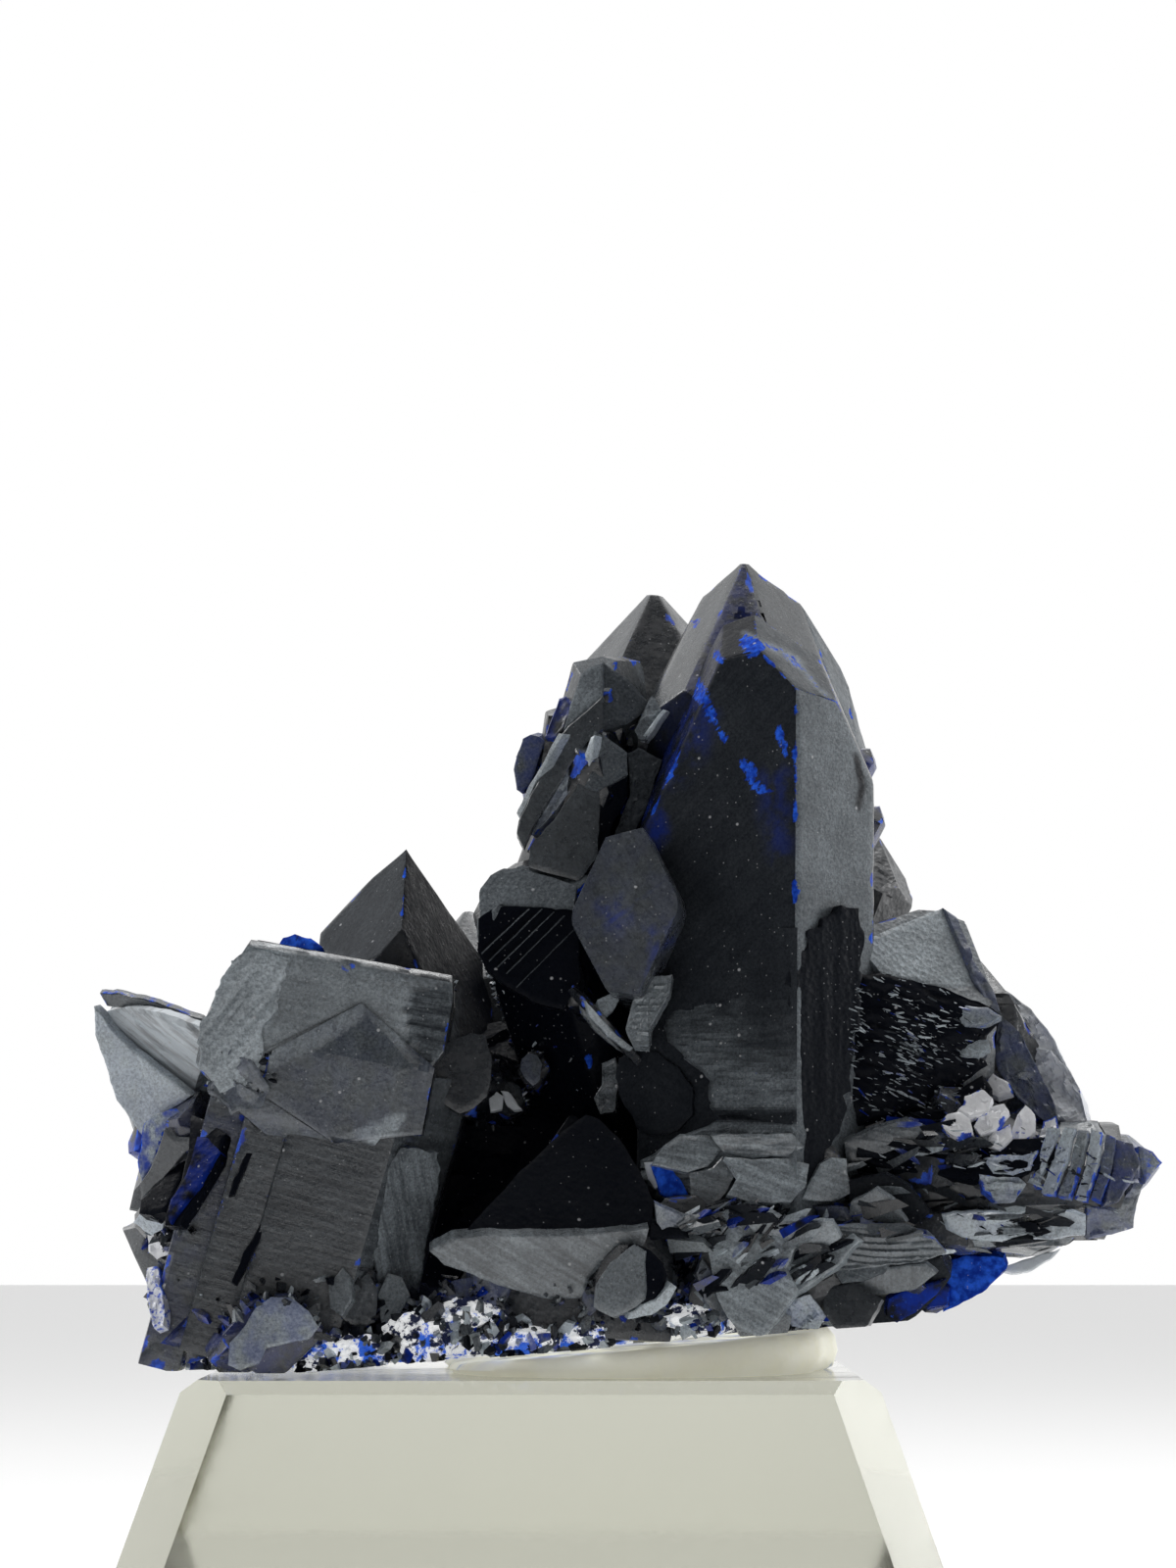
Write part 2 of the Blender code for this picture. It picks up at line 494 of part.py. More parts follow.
def settle(obj):
    """Applies the object's modifiers and keeps only its largest connected surface, so that
    sealed pockets and crumbs are dropped."""
    bpy.context.view_layer.update()
    graph = bpy.context.evaluated_depsgraph_get()
    mesh = bpy.data.meshes.new_from_object(obj.evaluated_get(graph))
    shape = bmesh.new()
    shape.from_mesh(mesh)
    unseen = set(shape.verts)
    islands = []
    while unseen:
        island, frontier = set(), [unseen.pop()]
        while frontier:
            vert = frontier.pop()
            island.add(vert)
            for edge in vert.link_edges:
                other = edge.other_vert(vert)
                if other in unseen:
                    unseen.discard(other)
                    frontier.append(other)
        islands.append(island)
    islands.sort(key=len)
    for island in islands[:-1]:
        bmesh.ops.delete(shape, geom=list(island), context="VERTS")
    shape.to_mesh(mesh)
    shape.free()
    obj.modifiers.clear()
    obj.data = mesh


def build_crystals(parts):
    grown_together = new_collection("crystals_grown_together")
    for name, spec in all_crystals().items():
        add_object(name, crystal_mesh(spec), grown_together, shown=False)
    cutters = new_collection("cutters")
    centre = Vector((0, 0, 0))
    seat = [sloping_plane(SEAT_Z, SEAT_RISE)] + outline_planes(SEAT_OUTLINE, CLEARANCE)
    underside = [sloping_plane(MATRIX_BOTTOM, SEAT_RISE)]
    top_of_block = [sloping_plane(BLOCK_HEIGHT + CLEARANCE, 0.0)]
    for name, planes in (("seat", seat), ("underside", underside), ("top_of_block", top_of_block)):
        add_object(name, cut_block(planes, centre, FAR, name), cutters, shown=False)
    for i, (lump, radii) in enumerate(MATRIX_LUMPS):
        hollow = lump_mesh(lump, [r + LUMP_CLEARANCE for r in radii], LUMP_ROUGHNESS, (), "hollow")
        add_object(f"hollow_{i + 1}", hollow, cutters, shown=False)
    core = lump_mesh(CORE_CENTRE, CORE_RADII, 0.0, (), "core")
    crystals = add_object("azurite_crystals", core, parts)
    boolean(crystals, "UNION", grown_together)
    boolean(crystals, "DIFFERENCE", cutters)
    settle(crystals)
    crystals.data.materials.append(material("azurite", AZURITE_COLOUR, 0.3))


def build_matrix(parts):
    bottom = [floor_plane(MATRIX_BOTTOM, SEAT_RISE), floor_plane(BLOCK_HEIGHT + CLEARANCE, 0.0)]
    lumps = new_collection("matrix_lumps")
    for i, (centre, radii) in enumerate(MATRIX_LUMPS):
        lump = lump_mesh(centre, radii, LUMP_ROUGHNESS, bottom, "lump")
        add_object(f"matrix_lump_{i + 1}", lump, lumps, shown=False)
    planes = [sloping_plane(SEAT_Z - CLEARANCE, SEAT_RISE)] + outline_planes(SEAT_OUTLINE, 0.0) + bottom
    matrix = add_object("matrix", cut_block(planes, Vector((0, 0, 0)), FAR, "matrix"), parts)
    boolean(matrix, "UNION", lumps)
    settle(matrix)
    matrix.data.materials.append(material("pale matrix", MATRIX_COLOUR, 0.9))


def build_putty(parts):
    planes = [sloping_plane(MATRIX_BOTTOM - CLEARANCE, SEAT_RISE)]
    planes += [floor_plane(BLOCK_HEIGHT + CLEARANCE, 0.0)] + outline_planes(PUTTY_OUTLINE, 0.0)
    mesh = cut_block(planes, Vector((0, 0, 0)), FAR, "mounting_putty")
    putty = add_object("mounting_putty", mesh, parts)
    putty.data.materials.append(material("putty", PUTTY_COLOUR, 0.6))


def build_block(parts):
    """A square frustum with its upright corners cut off and its top edges eased."""
    slope = (BLOCK_FOOT - BLOCK_TOP) / 2 / BLOCK_HEIGHT
    planes = [(Vector((0, 0, 1)), BLOCK_HEIGHT), (Vector((0, 0, -1)), 0.0)]
    for turn in range(4):
        along = Vector((math.cos(turn * math.pi / 2), math.sin(turn * math.pi / 2), 0))
        across = Vector((-along.y, along.x, 0))
        side = (along + Vector((0, 0, slope))).normalized()
        planes.append((side, side.x * along.x * BLOCK_FOOT / 2 + side.y * along.y * BLOCK_FOOT / 2))
        corner = (along + across + Vector((0, 0, 2 * slope))).normalized()
        reach = corner.dot((along + across) * BLOCK_FOOT / 2)
        planes.append((corner, reach - BLOCK_CORNER))
        edge = (side + Vector((0, 0, 1))).normalized()
        top_edge = along * BLOCK_TOP / 2 + Vector((0, 0, BLOCK_HEIGHT))
        planes.append((edge, edge.dot(top_edge) - BLOCK_EDGE))
    mesh = cut_block(planes, Vector((0, 0, 0)), FAR, "display_block")
    block = add_object("display_block", mesh, parts)
    block.data.materials.append(material("clear block", BLOCK_COLOUR, 0.03, 1.0, BLOCK_IOR))


def build():
    clear_scene()
    parts = new_collection("azurite_specimen")
    build_crystals(parts)
    build_matrix(parts)
    build_putty(parts)
    build_block(parts)


build()
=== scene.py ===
import json
import math
import random

import bpy
import bmesh
import numpy as np
from mathutils.bvhtree import BVHTree
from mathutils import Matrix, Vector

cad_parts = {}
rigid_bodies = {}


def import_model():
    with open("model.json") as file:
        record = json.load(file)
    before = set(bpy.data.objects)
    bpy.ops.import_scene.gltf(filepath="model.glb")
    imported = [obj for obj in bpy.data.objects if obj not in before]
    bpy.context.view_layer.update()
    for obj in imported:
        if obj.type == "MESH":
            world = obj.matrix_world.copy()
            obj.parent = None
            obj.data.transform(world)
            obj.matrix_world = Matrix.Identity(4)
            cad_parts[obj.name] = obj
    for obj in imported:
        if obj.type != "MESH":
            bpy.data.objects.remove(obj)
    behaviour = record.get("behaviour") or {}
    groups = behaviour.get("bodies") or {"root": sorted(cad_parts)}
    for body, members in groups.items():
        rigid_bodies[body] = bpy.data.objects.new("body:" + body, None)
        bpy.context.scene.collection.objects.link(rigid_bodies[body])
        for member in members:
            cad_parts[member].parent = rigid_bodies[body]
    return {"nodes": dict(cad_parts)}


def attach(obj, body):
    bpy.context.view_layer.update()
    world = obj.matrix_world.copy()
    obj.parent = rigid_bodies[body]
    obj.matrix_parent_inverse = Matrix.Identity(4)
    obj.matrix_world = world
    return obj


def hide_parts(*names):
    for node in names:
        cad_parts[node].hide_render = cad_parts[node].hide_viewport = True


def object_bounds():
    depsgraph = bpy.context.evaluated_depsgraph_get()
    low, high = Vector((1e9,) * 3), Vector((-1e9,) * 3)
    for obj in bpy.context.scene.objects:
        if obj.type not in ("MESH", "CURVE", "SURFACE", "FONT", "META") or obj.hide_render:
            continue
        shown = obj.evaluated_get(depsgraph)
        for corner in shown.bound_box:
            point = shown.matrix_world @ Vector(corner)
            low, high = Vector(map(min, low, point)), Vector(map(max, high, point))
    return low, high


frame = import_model()
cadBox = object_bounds()
mm = 0.001
print("frame loaded:", ", ".join(sorted(frame["nodes"])))

seat = {"height": 14.2, "rise": 0.08, "rock": 1.1, "lowest": 12.3}  # the specimen's tilted underside

# shader nodes


def setInputs(tree, node, **values):
    # values or links for a node's inputs, by name or, as in0, in1 and so on, by place
    for word, value in values.items():
        byPlace = word.startswith("in") and word[2:].isdigit()
        socket = node.inputs[int(word[2:]) if byPlace else word.replace("_", " ")]
        if isinstance(value, bpy.types.NodeSocket):
            tree.links.new(value, socket)
        else:
            socket.default_value = value


def addNode(tree, kind, settings=(), **values):
    node = tree.nodes.new(kind)
    for word, value in dict(settings).items():
        setattr(node, word, value)
    setInputs(tree, node, **values)
    return node


def maths(tree, operation, first, second=0.0, third=0.0, clamp=False):
    settings = {"operation": operation, "use_clamp": clamp}
    return addNode(tree, "ShaderNodeMath", settings, in0=first, in1=second, in2=third).outputs[0]


def mixColour(tree, share, first, second):
    return addNode(tree, "ShaderNodeMix", {"data_type": "RGBA"}, in0=share, in6=first, in7=second).outputs[2]


def ramp(tree, value, low, high, start=0.0, end=1.0):
    node = addNode(tree, "ShaderNodeMapRange", {"interpolation_type": "SMOOTHSTEP"}, Value=value,
                   From_Min=low, From_Max=high, To_Min=start, To_Max=end)
    return node.outputs[0]


def noiseAt(tree, coords, perMillimetre, detail=3.0, roughness=0.55):
    return addNode(tree, "ShaderNodeTexNoise", {}, Vector=coords, Scale=perMillimetre / mm,
                   Detail=detail, Roughness=roughness).outputs[0]


def newMaterial(name, colour, roughness):
    made = bpy.data.materials.new(name)
    made.use_nodes = True
    made.diffuse_color = (*colour, 1)
    tree = made.node_tree
    shader = tree.nodes["Principled BSDF"]
    setInputs(tree, shader, Base_Color=(*colour, 1), Roughness=roughness)
    return made, tree, shader


# camera and studio

camera = {"distance": 200.0, "x": 2.48, "height": 20.0, "lookHeight": 39.15, "mmPerPixel": 0.046,
          "imageHeight": 1600, "imageMiddle": (600, 800), "sensor": 36.0}
studio = {"floorSize": 1500.0, "floorGap": 0.02, "floorGlow": 0.12, "behind": 1.0, "front": 0.05,
          "above": 1.1, "lit": (3, 0, 26),
          "lights": (((-150, 10, 170), 0.10, 60), ((190, 60, 80), 0.10, 80), ((20, 50, 240), 0.12, 70))}


def addObject(name, data):
    obj = bpy.data.objects.new(name, data)
    bpy.context.scene.collection.objects.link(obj)
    return obj


def aim(obj, place, target):
    # puts an object in its place, looking at a target
    step = [t - p for t, p in zip(target, place)]
    obj.location = [p * mm for p in place]
    flat = math.hypot(step[0], step[1])
    obj.rotation_euler = (math.pi / 2 + math.atan2(step[2], flat), 0, math.atan2(-step[0], step[1]))


def makeCamera():
    data = bpy.data.cameras.new("camera")
    obj = addObject("camera", data)
    place = (camera["x"], -camera["distance"], camera["height"])
    target = (camera["x"], 0.0, camera["lookHeight"])
    aim(obj, place, target)
    reach = math.dist(place, target)
    data.sensor_width = camera["sensor"]
    data.lens = camera["sensor"] * reach / (camera["imageHeight"] * camera["mmPerPixel"])
    data.clip_start = 5 * mm
    bpy.context.scene.camera = obj


def makeStudio():
    # a sky dark behind the camera and white behind the specimen, brighter overhead at the back;
    # the camera itself sees plain white
    world = bpy.data.worlds.new("studio")
    bpy.context.scene.world = world
    world.use_nodes = True
    tree = world.node_tree
    tree.nodes.clear()
    around = tree.nodes.new("ShaderNodeTexCoord").outputs["Generated"]
    split = addNode(tree, "ShaderNodeSeparateXYZ", {}, in0=around)
    depth = ramp(tree, split.outputs["Y"], -0.6, 0.35, studio["front"], studio["behind"])
    lift = ramp(tree, split.outputs["Z"], 0.35, 0.85, 0.0, studio["above"])
    overhead = maths(tree, "MULTIPLY", lift, ramp(tree, split.outputs["Y"], -0.55, 0.1))
    seen = maths(tree, "MAXIMUM", tree.nodes.new("ShaderNodeLightPath").outputs["Is Camera Ray"],
                 maths(tree, "MAXIMUM", depth, overhead))
    sky = addNode(tree, "ShaderNodeBackground", {}, Color=(1, 1, 1, 1), Strength=seen)
    addNode(tree, "ShaderNodeOutputWorld", {}, Surface=sky.outputs[0])
    for i, (place, watts, size) in enumerate(studio["lights"]):
        lamp = bpy.data.lights.new(f"softbox{i + 1}", "AREA")
        lamp.energy = watts
        lamp.size = size * mm
        aim(addObject(lamp.name, lamp), place, studio["lit"])
    bpy.context.scene.view_settings.view_transform = "Standard"


def makeFloor():
    half = studio["floorSize"] * mm / 2
    data = bpy.data.meshes.new("floor")
    ends = [(-half, -half, 0), (half, -half, 0), (half, half, 0), (-half, half, 0)]
    data.from_pydata(ends, [], [(0, 1, 2, 3)])
    floor = addObject("floor", data)
    floor.location.z = -studio["floorGap"] * mm
    made, tree, shader = newMaterial("white floor", (0.86, 0.86, 0.86), 0.7)
    setInputs(tree, shader, Emission_Color=(1, 1, 1, 1), Emission_Strength=studio["floorGlow"])
    data.materials.append(made)


makeCamera()
makeStudio()
makeFloor()
print("camera, studio and floor ready")

# noise and broken relief, in whole arrays


def mixBits(cells, seed):
    # a repeatable random whole number for each cell of space
    bits = cells[..., 0] * 73856093 ^ cells[..., 1] * 19349663 ^ cells[..., 2] * 83492791 ^ seed * 40503
    bits = (bits ^ (bits >> 13)) * 1274126177
    return (bits ^ (bits >> 16)) & 0xFFFF


def smoothNoise(points, seed=0):
    # a random value from -1 to 1 at each whole-number corner of space, blended smoothly between
    corner = np.floor(points).astype(np.int64)
    part = points - corner
    part = part * part * (3 - 2 * part)
    total = np.zeros(points.shape[:-1])
    for step in np.ndindex(2, 2, 2):
        value = mixBits(corner + step, seed) / 32767.5 - 1
        total += value * np.prod(np.where(step, part, 1 - part), axis=-1)
    return total


def layeredNoise(points, octaves=3, seed=0):
    # smoothNoise at doubling scales, each half as strong as the last
    total = np.zeros(points.shape[:-1])
    for i in range(octaves):
        total += smoothNoise(points * 2 ** i, seed + 17 * i) / 2 ** i
    return total / 1.5


def brokenCells(flat, seed):
    # each point's nearest scattered seed: the offset from it and the seed's own random pair
    base = np.floor(flat).astype(np.int64)
    nearest = np.full(flat.shape[0], 9.0)
    offset, own = np.zeros_like(flat), np.zeros_like(flat)
    for step in np.ndindex(3, 3):
        cell = base + step - 1
        key = np.concatenate([cell, np.zeros_like(cell[:, :1])], axis=1)
        spot = cell + np.stack([mixBits(key, seed), mixBits(key, seed + 1)], axis=1) / 65535
        gap = flat - spot
        far = (gap ** 2).sum(axis=1)
        closer = far < nearest
        nearest = np.where(closer, far, nearest)
        luck = np.stack([mixBits(key, seed + 2), mixBits(key, seed + 3)], axis=1) / 32767.5 - 1
        offset[closer], own[closer] = gap[closer], luck[closer]
    return offset, own


def smoothStep(value, low, high):
    part = np.clip((value - low) / (high - low), 0, 1)
    return part * part * (3 - 2 * part)


def turnedAxes(degrees):
    # the two axes of a flat map turned by an angle
    turn = math.radians(degrees)
    return np.array(((math.cos(turn), math.sin(turn)), (-math.sin(turn), math.cos(turn))))

# crystal shapes

# A habit lists the cuts of a crystal in its own unit block, which is 2 wide, 2 deep and 1 long:
# sides (turn, reach): a face along the axis, that far out; turn 0 is its right, 90 its front
# tips (turn, atAxis, atSide): a face through the axis at one height and the side at another
# feet (turn, atAxis, atSide): the same, cutting away what is below
habits = {
    "tallSpire": dict(sides=((128, 0.9), (38, 0.94), (222, 0.92), (318, 0.92)), tips=((38, 1, 0.76),
        (14, 1.08, 0.735), (8, 1.29, 0.7), (98, 1, 0.78), (152, 1, 0.77), (178, 1.06, 0.72), (270, 1, 0.72),
        (0, 0.995, 0.99))),
    "frontSpire": dict(sides=((122, 0.67), (38, 0.83), (215, 0.9), (325, 0.92)), tips=((130, 1.01, 0.86),
        (36, 1, 0.82), (168, 1.12, 0.66), (8, 1.16, 0.74), (270, 1, 0.8))),
    "spire": dict(sides=((42, 0.98), (140, 0.9), (220, 0.95), (318, 0.96)), tips=((20, 1, 0.78),
        (88, 1, 0.76), (152, 1, 0.8), (262, 1, 0.74), (0, 0.985, 0.97))),
    "pyramid": dict(sides=((132, 0.94), (28, 0.96), (225, 0.96)), tips=((140, 1, 0.7), (22, 1, 0.48),
        (176, 1.02, 0.8), (262, 1, 0.66))),
    "chisel": dict(sides=((48, 0.92), (136, 0.88), (224, 0.95), (312, 0.92)), tips=((8, 1, 0.7),
        (176, 1, 0.8), (92, 1.06, 0.88), (268, 1.05, 0.84))),
    "block": dict(sides=((44, 1.05), (138, 0.98), (222, 1.05), (316, 1.08)), tips=((95, 1.03, 0.9),
        (200, 1.05, 0.9), (20, 1.06, 0.93))),
    "column": dict(sides=((40, 1.32), (145, 1.3)), tips=((95, 1.02, 0.95),)),
    "cornerColumn": dict(sides=((44, 0.93), (145, 1.32)), tips=((95, 1.02, 0.95),)),
    "slantTop": dict(sides=((44, 1.05), (138, 0.98), (222, 1.05), (316, 1.08)), tips=((22, 1, 0.7),
        (100, 1.03, 0.88), (200, 1.04, 0.93))),
    "flatTop": dict(sides=((60, 1.04), (124, 0.8), (225, 1), (320, 1.05)), tips=((92, 1.01, 0.86),
        (178, 1.02, 0.84), (12, 1, 0.93), (270, 1.02, 0.9))),
    "greatBlock": dict(sides=((50, 1.36), (124, 1.26), (300, 1), (240, 1)), tips=((0, 1.01, 0.85),
        (180, 1.19, 0.63), (90, 1.04, 0.95)), feet=((180, 0.04, 0.23), (0, -0.06, 0.02))),
    "lozenge": dict(sides=((38, 0.8), (140, 0.86), (216, 0.82), (322, 0.88), (95, 0.96), (262, 0.93)),
        tips=((60, 1.03, 0.93), (250, 1.02, 0.96))),
    "flatLozenge": dict(sides=((38, 0.8), (140, 0.86), (216, 0.82), (322, 0.88), (95, 0.96), (262, 0.93)),
        tips=((60, 1, 0.985), (250, 1, 0.98))),
    "wing": dict(sides=((42, 0.52), (128, 0.62), (230, 0.8), (310, 0.8)), tips=((180, 0.9, 0.7),
        (0, 1.02, 0.98), (140, 1, 0.66), (270, 1.02, 0.8))),
    "roof": dict(sides=(), tips=((0, 1, 0.66), (180, 1, 0.57)), feet=((0, 0.03, 0.2), (180, 0.03, 0.26))),
    "pitched": dict(sides=((64, 1.06), (118, 1.02)), tips=((90, 1.14, 0.42), (0, 1.02, 0.42),
        (180, 1.03, 0.22))),
    "longWing": dict(sides=((42, 0.86), (132, 0.84), (230, 0.9), (310, 0.9)), tips=((180, 0.98, 0.9),
        (0, 1.03, 0.8), (30, 1, 0.86), (270, 1.02, 0.88))),
    "step": dict(sides=((38, 0.92), (142, 0.9)), tips=((180, 1, 0.98), (0, 1, 0.9), (90, 1, 0.98))),
    "ridge": dict(sides=((40, 0.56), (142, 0.64), (225, 0.9), (315, 0.9)), tips=((10, 1, 0.85),
        (170, 1, 0.85))),
    "blade": dict(sides=((25, 0.93), (160, 0.95), (205, 0.94), (338, 0.95)), tips=((0, 1, 0.86),
        (180, 1, 0.92), (92, 1.03, 0.88), (268, 1.03, 0.9))),
    "gem": dict(sides=((45, 0.98), (135, 0.95), (225, 0.86), (315, 0.82)), tips=((180, 1.03, 0.86),
        (0, 1, 0.66))),
    "leaf": dict(sides=((45, 0.96), (135, 0.9), (225, 0.95), (315, 1)), tips=((270, 1, 0.87),
        (0, 1.01, 0.97))),
    "sideSlope": dict(sides=((50, 1), (130, 1), (220, 0.95), (310, 0.96)), tips=((0, 1.09, 0.3),
        (90, 1.08, 0.84), (270, 1.02, 0.84))),
    "broadHead": dict(sides=((52, 1.16), (130, 1.1), (222, 0.95), (312, 0.96)), tips=((78, 1, 0.7),
        (0, 1.02, 0.94), (0, 1.36, 0.7), (180, 1, 0.9), (268, 1.02, 0.84))),
}

# each crystal: foot, tip, width, depth, habit and, where it is rolled on its axis, the angle

spires = {
    "mainSpire": ((9.8, 1.5, 15), (9.8, -1, 49.6), 12, 11, "tallSpire"),
    "frontSpire": ((9.9, -8.3, 16.5), (10.3, -5, 46.4), 10.6, 9, "frontSpire"),
    "rearSpire": ((6.6, 8, 20), (5.7, 7, 49.5), 8.4, 8, "spire"),
    "shoulderSpire": ((12, 2, 26), (16.2, 2, 37), 5.4, 6, "spire"),
    "upperBump": ((13.4, -1, 36.5), (15.6, -2, 40.6), 1.5, 2.2, "blade"),
    "lowerBump": ((13.8, 0, 33.5), (16.1, -1, 38), 1.4, 2.2, "blade"),
}
leaningGroup = {
    "leanTall": ((1, 1.5, 34), (4, -0.6, 44.9), 4.2, 7, "slantTop"),
    "leanFront": ((0.6, -2, 33.3), (3.5, -4.2, 41.1), 3.9, 5.6, "slantTop"),
    "leanLeft": ((0.1, 0.5, 36), (2, -0.8, 43.4), 1.5, 6, "blade"),
    "leanPlate": ((0, -3, 35.8), (2.7, -4.5, 41.4), 0.7, 2.8, "blade"),
    "leanChipHigh": ((0.6, -2, 39), (1.1, -2.4, 42.5), 1.2, 2.2, "blade"),
    "leanChipLow": ((0.6, -1, 36.2), (-0.2, -1.5, 40.8), 1.6, 2.4, "blade"),
    "leanInner": ((4.4, -1, 37), (5.3, -2.6, 42.4), 1.8, 2.6, "chisel"),
}
middleGroup = {
    "stripedBlock": ((3, -1, 23.8), (-0.5, -5, 35), 5.8, 7, "flatTop"),
    "lozenge": ((5.4, -2.5, 31.6), (4.1, -10.5, 32.5), 4.8, 7.7, "flatLozenge"),
    "cavityPlate": ((-1, -2, 24.4), (-3.2, -6.5, 25.1), 2.6, 3.4, "lozenge"),
    "cavityBud": ((0.5, 1, 25), (0, -5, 25.6), 1.5, 2, "lozenge"),
    "cavityGlint": ((-0.6, 0, 23.4), (-1.3, -5.5, 24.3), 1.7, 1.4, "block", 20),
    "sliver": ((3.4, -2.5, 27.6), (1.7, -8, 29.6), 1, 2.2, "blade"),
    "thinBlade": ((5.2, -6, 25.4), (1.9, -9.4, 29), 0.6, 3, "blade"),
    "darkWedge": ((1.3, -8.6, 13.6), (1.8, -8, 23.4), 9.6, 9.4, "pitched"),
    "lowGem": ((4.3, -6, 16.6), (4.2, -14.2, 16.3), 3.5, 3.1, "gem"),
}
leftGroup = {
    "leftPyramid": ((-6.2, 2, 16), (-6.1, 1.5, 36.2), 8.2, 8.4, "pyramid"),
    "leftFarBud": ((-9.5, 3, 24), (-11.6, 4, 32.3), 3, 3.4, "spire"),
    "greatBlock": ((-4.1, -7.4, 25.3), (-14.7, -7.6, 27.2), 8.6, 11, "greatBlock"),
    "growthPlate": ((-8.6, -9, 22), (-7.4, -9, 28.3), 7.4, 8.3, "roof"),
    "wing": ((-10.5, -4, 23.2), (-19.9, -6, 26.3), 5.9, 5.4, "wing"),
    "leftBlue": ((-14, -4, 20.5), (-17.8, -7, 23), 2.6, 1.8, "blade"),
    "leftPrism": ((-16.2, -6, 18), (-14.9, -9, 24.4), 2.7, 3.6, "chisel"),
    "leftPrismLow": ((-13.5, -6, 20.5), (-17.6, -8.2, 18.6), 2.3, 3.4, "chisel"),
    "columnRight": ((-9.7, -6.2, 13.6), (-6.2, -6.2, 26), 7.4, 12.8, "cornerColumn"),
    "columnMiddle": ((-14.3, -6.2, 13), (-10.7, -6.2, 26), 2.3, 12.5, "column"),
    "columnLeft": ((-16.3, -5.9, 12.4), (-12.7, -5.9, 26), 2, 11.4, "column"),
    "lavenderStub": ((-11.4, -8, 14.4), (-11.1, -14.6, 13.9), 4.4, 3.5, "lozenge"),
    "cornerStub": ((-9.8, -9, 15.2), (-13.7, -14, 12.9), 2.6, 2.4, "chisel"),
    "cornerPrism": ((-11.5, -7, 15.5), (-16.2, -11.6, 13.5), 2.8, 2.6, "chisel"),
}
rightGroup = {
    "rightBlock": ((16.7, -2.6, 19), (17.7, -3.6, 33), 7.4, 9, "broadHead"),
    "rightBackBlock": ((19.8, -0.6, 19.4), (19.8, -0.8, 31), 11.6, 8.6, "sideSlope"),
    "rightRidge": ((18, -2, 21), (24.2, -3.4, 24.6), 3.4, 6, "chisel"),
    "rightRearBud": ((19, 2, 24.2), (24.3, 1, 27.4), 1.7, 2.6, "spire"),
    "rightWing": ((10, -4, 19.8), (27.4, -6, 20.6), 5.6, 8.4, "longWing"),
    "wingPoint": ((22, -5, 20.7), (28.2, -6.2, 21.2), 3.2, 5.6, "chisel"),
    "glareHigh": ((18, -2, 22.4), (19.8, -8.8, 23.6), 3.9, 2.4, "leaf", -24),
    "glareMiddle": ((19.5, -2, 21.8), (21.5, -8.9, 22.6), 3.2, 1.9, "leaf", -20),
    "glareLow": ((21.5, -2, 21.6), (23.4, -8.6, 22.3), 2.4, 1.3, "leaf", -16),
    "sweepHigh": ((12, -5, 22.9), (18.6, -8.9, 21.6), 1.4, 4.2, "blade", 10),
    "sweepLow": ((12, -5, 21.2), (19.4, -9.7, 20.4), 2, 4, "blade", -12),
    "fan1": ((11, -5, 20.6), (15.8, -9.9, 19), 3.2, 2.2, "blade", 35),
    "fan2": ((13.6, -4, 19.4), (19.2, -9.5, 18.7), 2.2, 3.4, "block", 15),
    "underCrystal": ((5, -6.4, 18), (18, -8.6, 15.8), 4.4, 8.4, "ridge"),
    "underPlate": ((8, -6, 19.6), (21.4, -8.8, 18), 2, 6.6, "blade"),
    "blueShard": ((13, -4, 18), (21.3, -6.4, 16.6), 2.4, 2.2, "blade"),
    "blueShardLow": ((15, -5, 17.8), (18.6, -7, 15), 1.8, 1.5, "blade"),
    "palePlate": ((14, -1, 18.8), (24.2, -4, 17.8), 1.6, 4.2, "blade"),
    "footFacet": ((9.4, -5, 17.4), (9.3, -12.7, 16.7), 5.6, 4.4, "lozenge", 28),
    "footRod": ((9, -9.4, 15.7), (16.4, -9.2, 19.2), 1.7, 4.6, "blade"),
    "footWedge": ((8, -6, 19), (7, -12.4, 18.6), 3.4, 2.4, "leaf", -30),
    "footLow": ((11.5, -6, 16.6), (13, -12.2, 15.9), 4.2, 2.6, "block", 15),
    "sideSlab": ((12, -4, 21.6), (12.7, -11.3, 20.9), 2.2, 2.6, "leaf", -20),
}
rearGroup = {
    "rearLeft": ((-6, 5, 15.5), (-10, 12.6, 29.6), 7, 6.4, "spire", 20),
    "rearBud": ((-1, 6, 17), (-3.4, 8, 33.9), 6, 6.4, "spire"),
    "rearTall": ((6, 5, 17), (8.2, 12, 41.5), 8, 7.4, "tallSpire", 30),
    "rearRight": ((11, 5, 17), (15.4, 11.4, 32.6), 7, 6.4, "pyramid", -10),
    "rearLowLeft": ((-11, 2, 16.5), (-16.8, 7.6, 23.4), 6.4, 5.4, "chisel"),
    "rearLowRight": ((12, 5, 18.5), (20, 10.6, 22.6), 5.4, 6, "chisel"),
    "rearMiddle": ((2, 6, 16.5), (2.4, 16, 24.6), 7, 6.4, "block", 10),
    "rearFootLeft": ((-7, 6, 16), (-8.6, 14.6, 18.6), 6.4, 4.8, "lozenge"),
    "rearFootRight": ((8, 6, 16.5), (10.6, 15.2, 18.8), 6.4, 5, "lozenge"),
    "leftLow": ((-9, -1, 15.5), (-19, -1.4, 18.4), 4.8, 4.4, "chisel"),
    "leftSideBud": ((-12, -3, 19), (-18.2, -3.6, 20.4), 2.6, 2.8, "lozenge", 25),
    "rearBlade": ((1, 4, 26), (-3.6, 11, 30.6), 4, 2.2, "blade", 20),
    "rearBladeRight": ((12, 4, 22), (19.6, 9.6, 28), 4.4, 2.4, "blade", -15),
}

frontSpireSpec = spires.pop("frontSpire")
columnGroup = {word: leftGroup.pop(word) for word in ("columnRight", "columnMiddle", "columnLeft")}

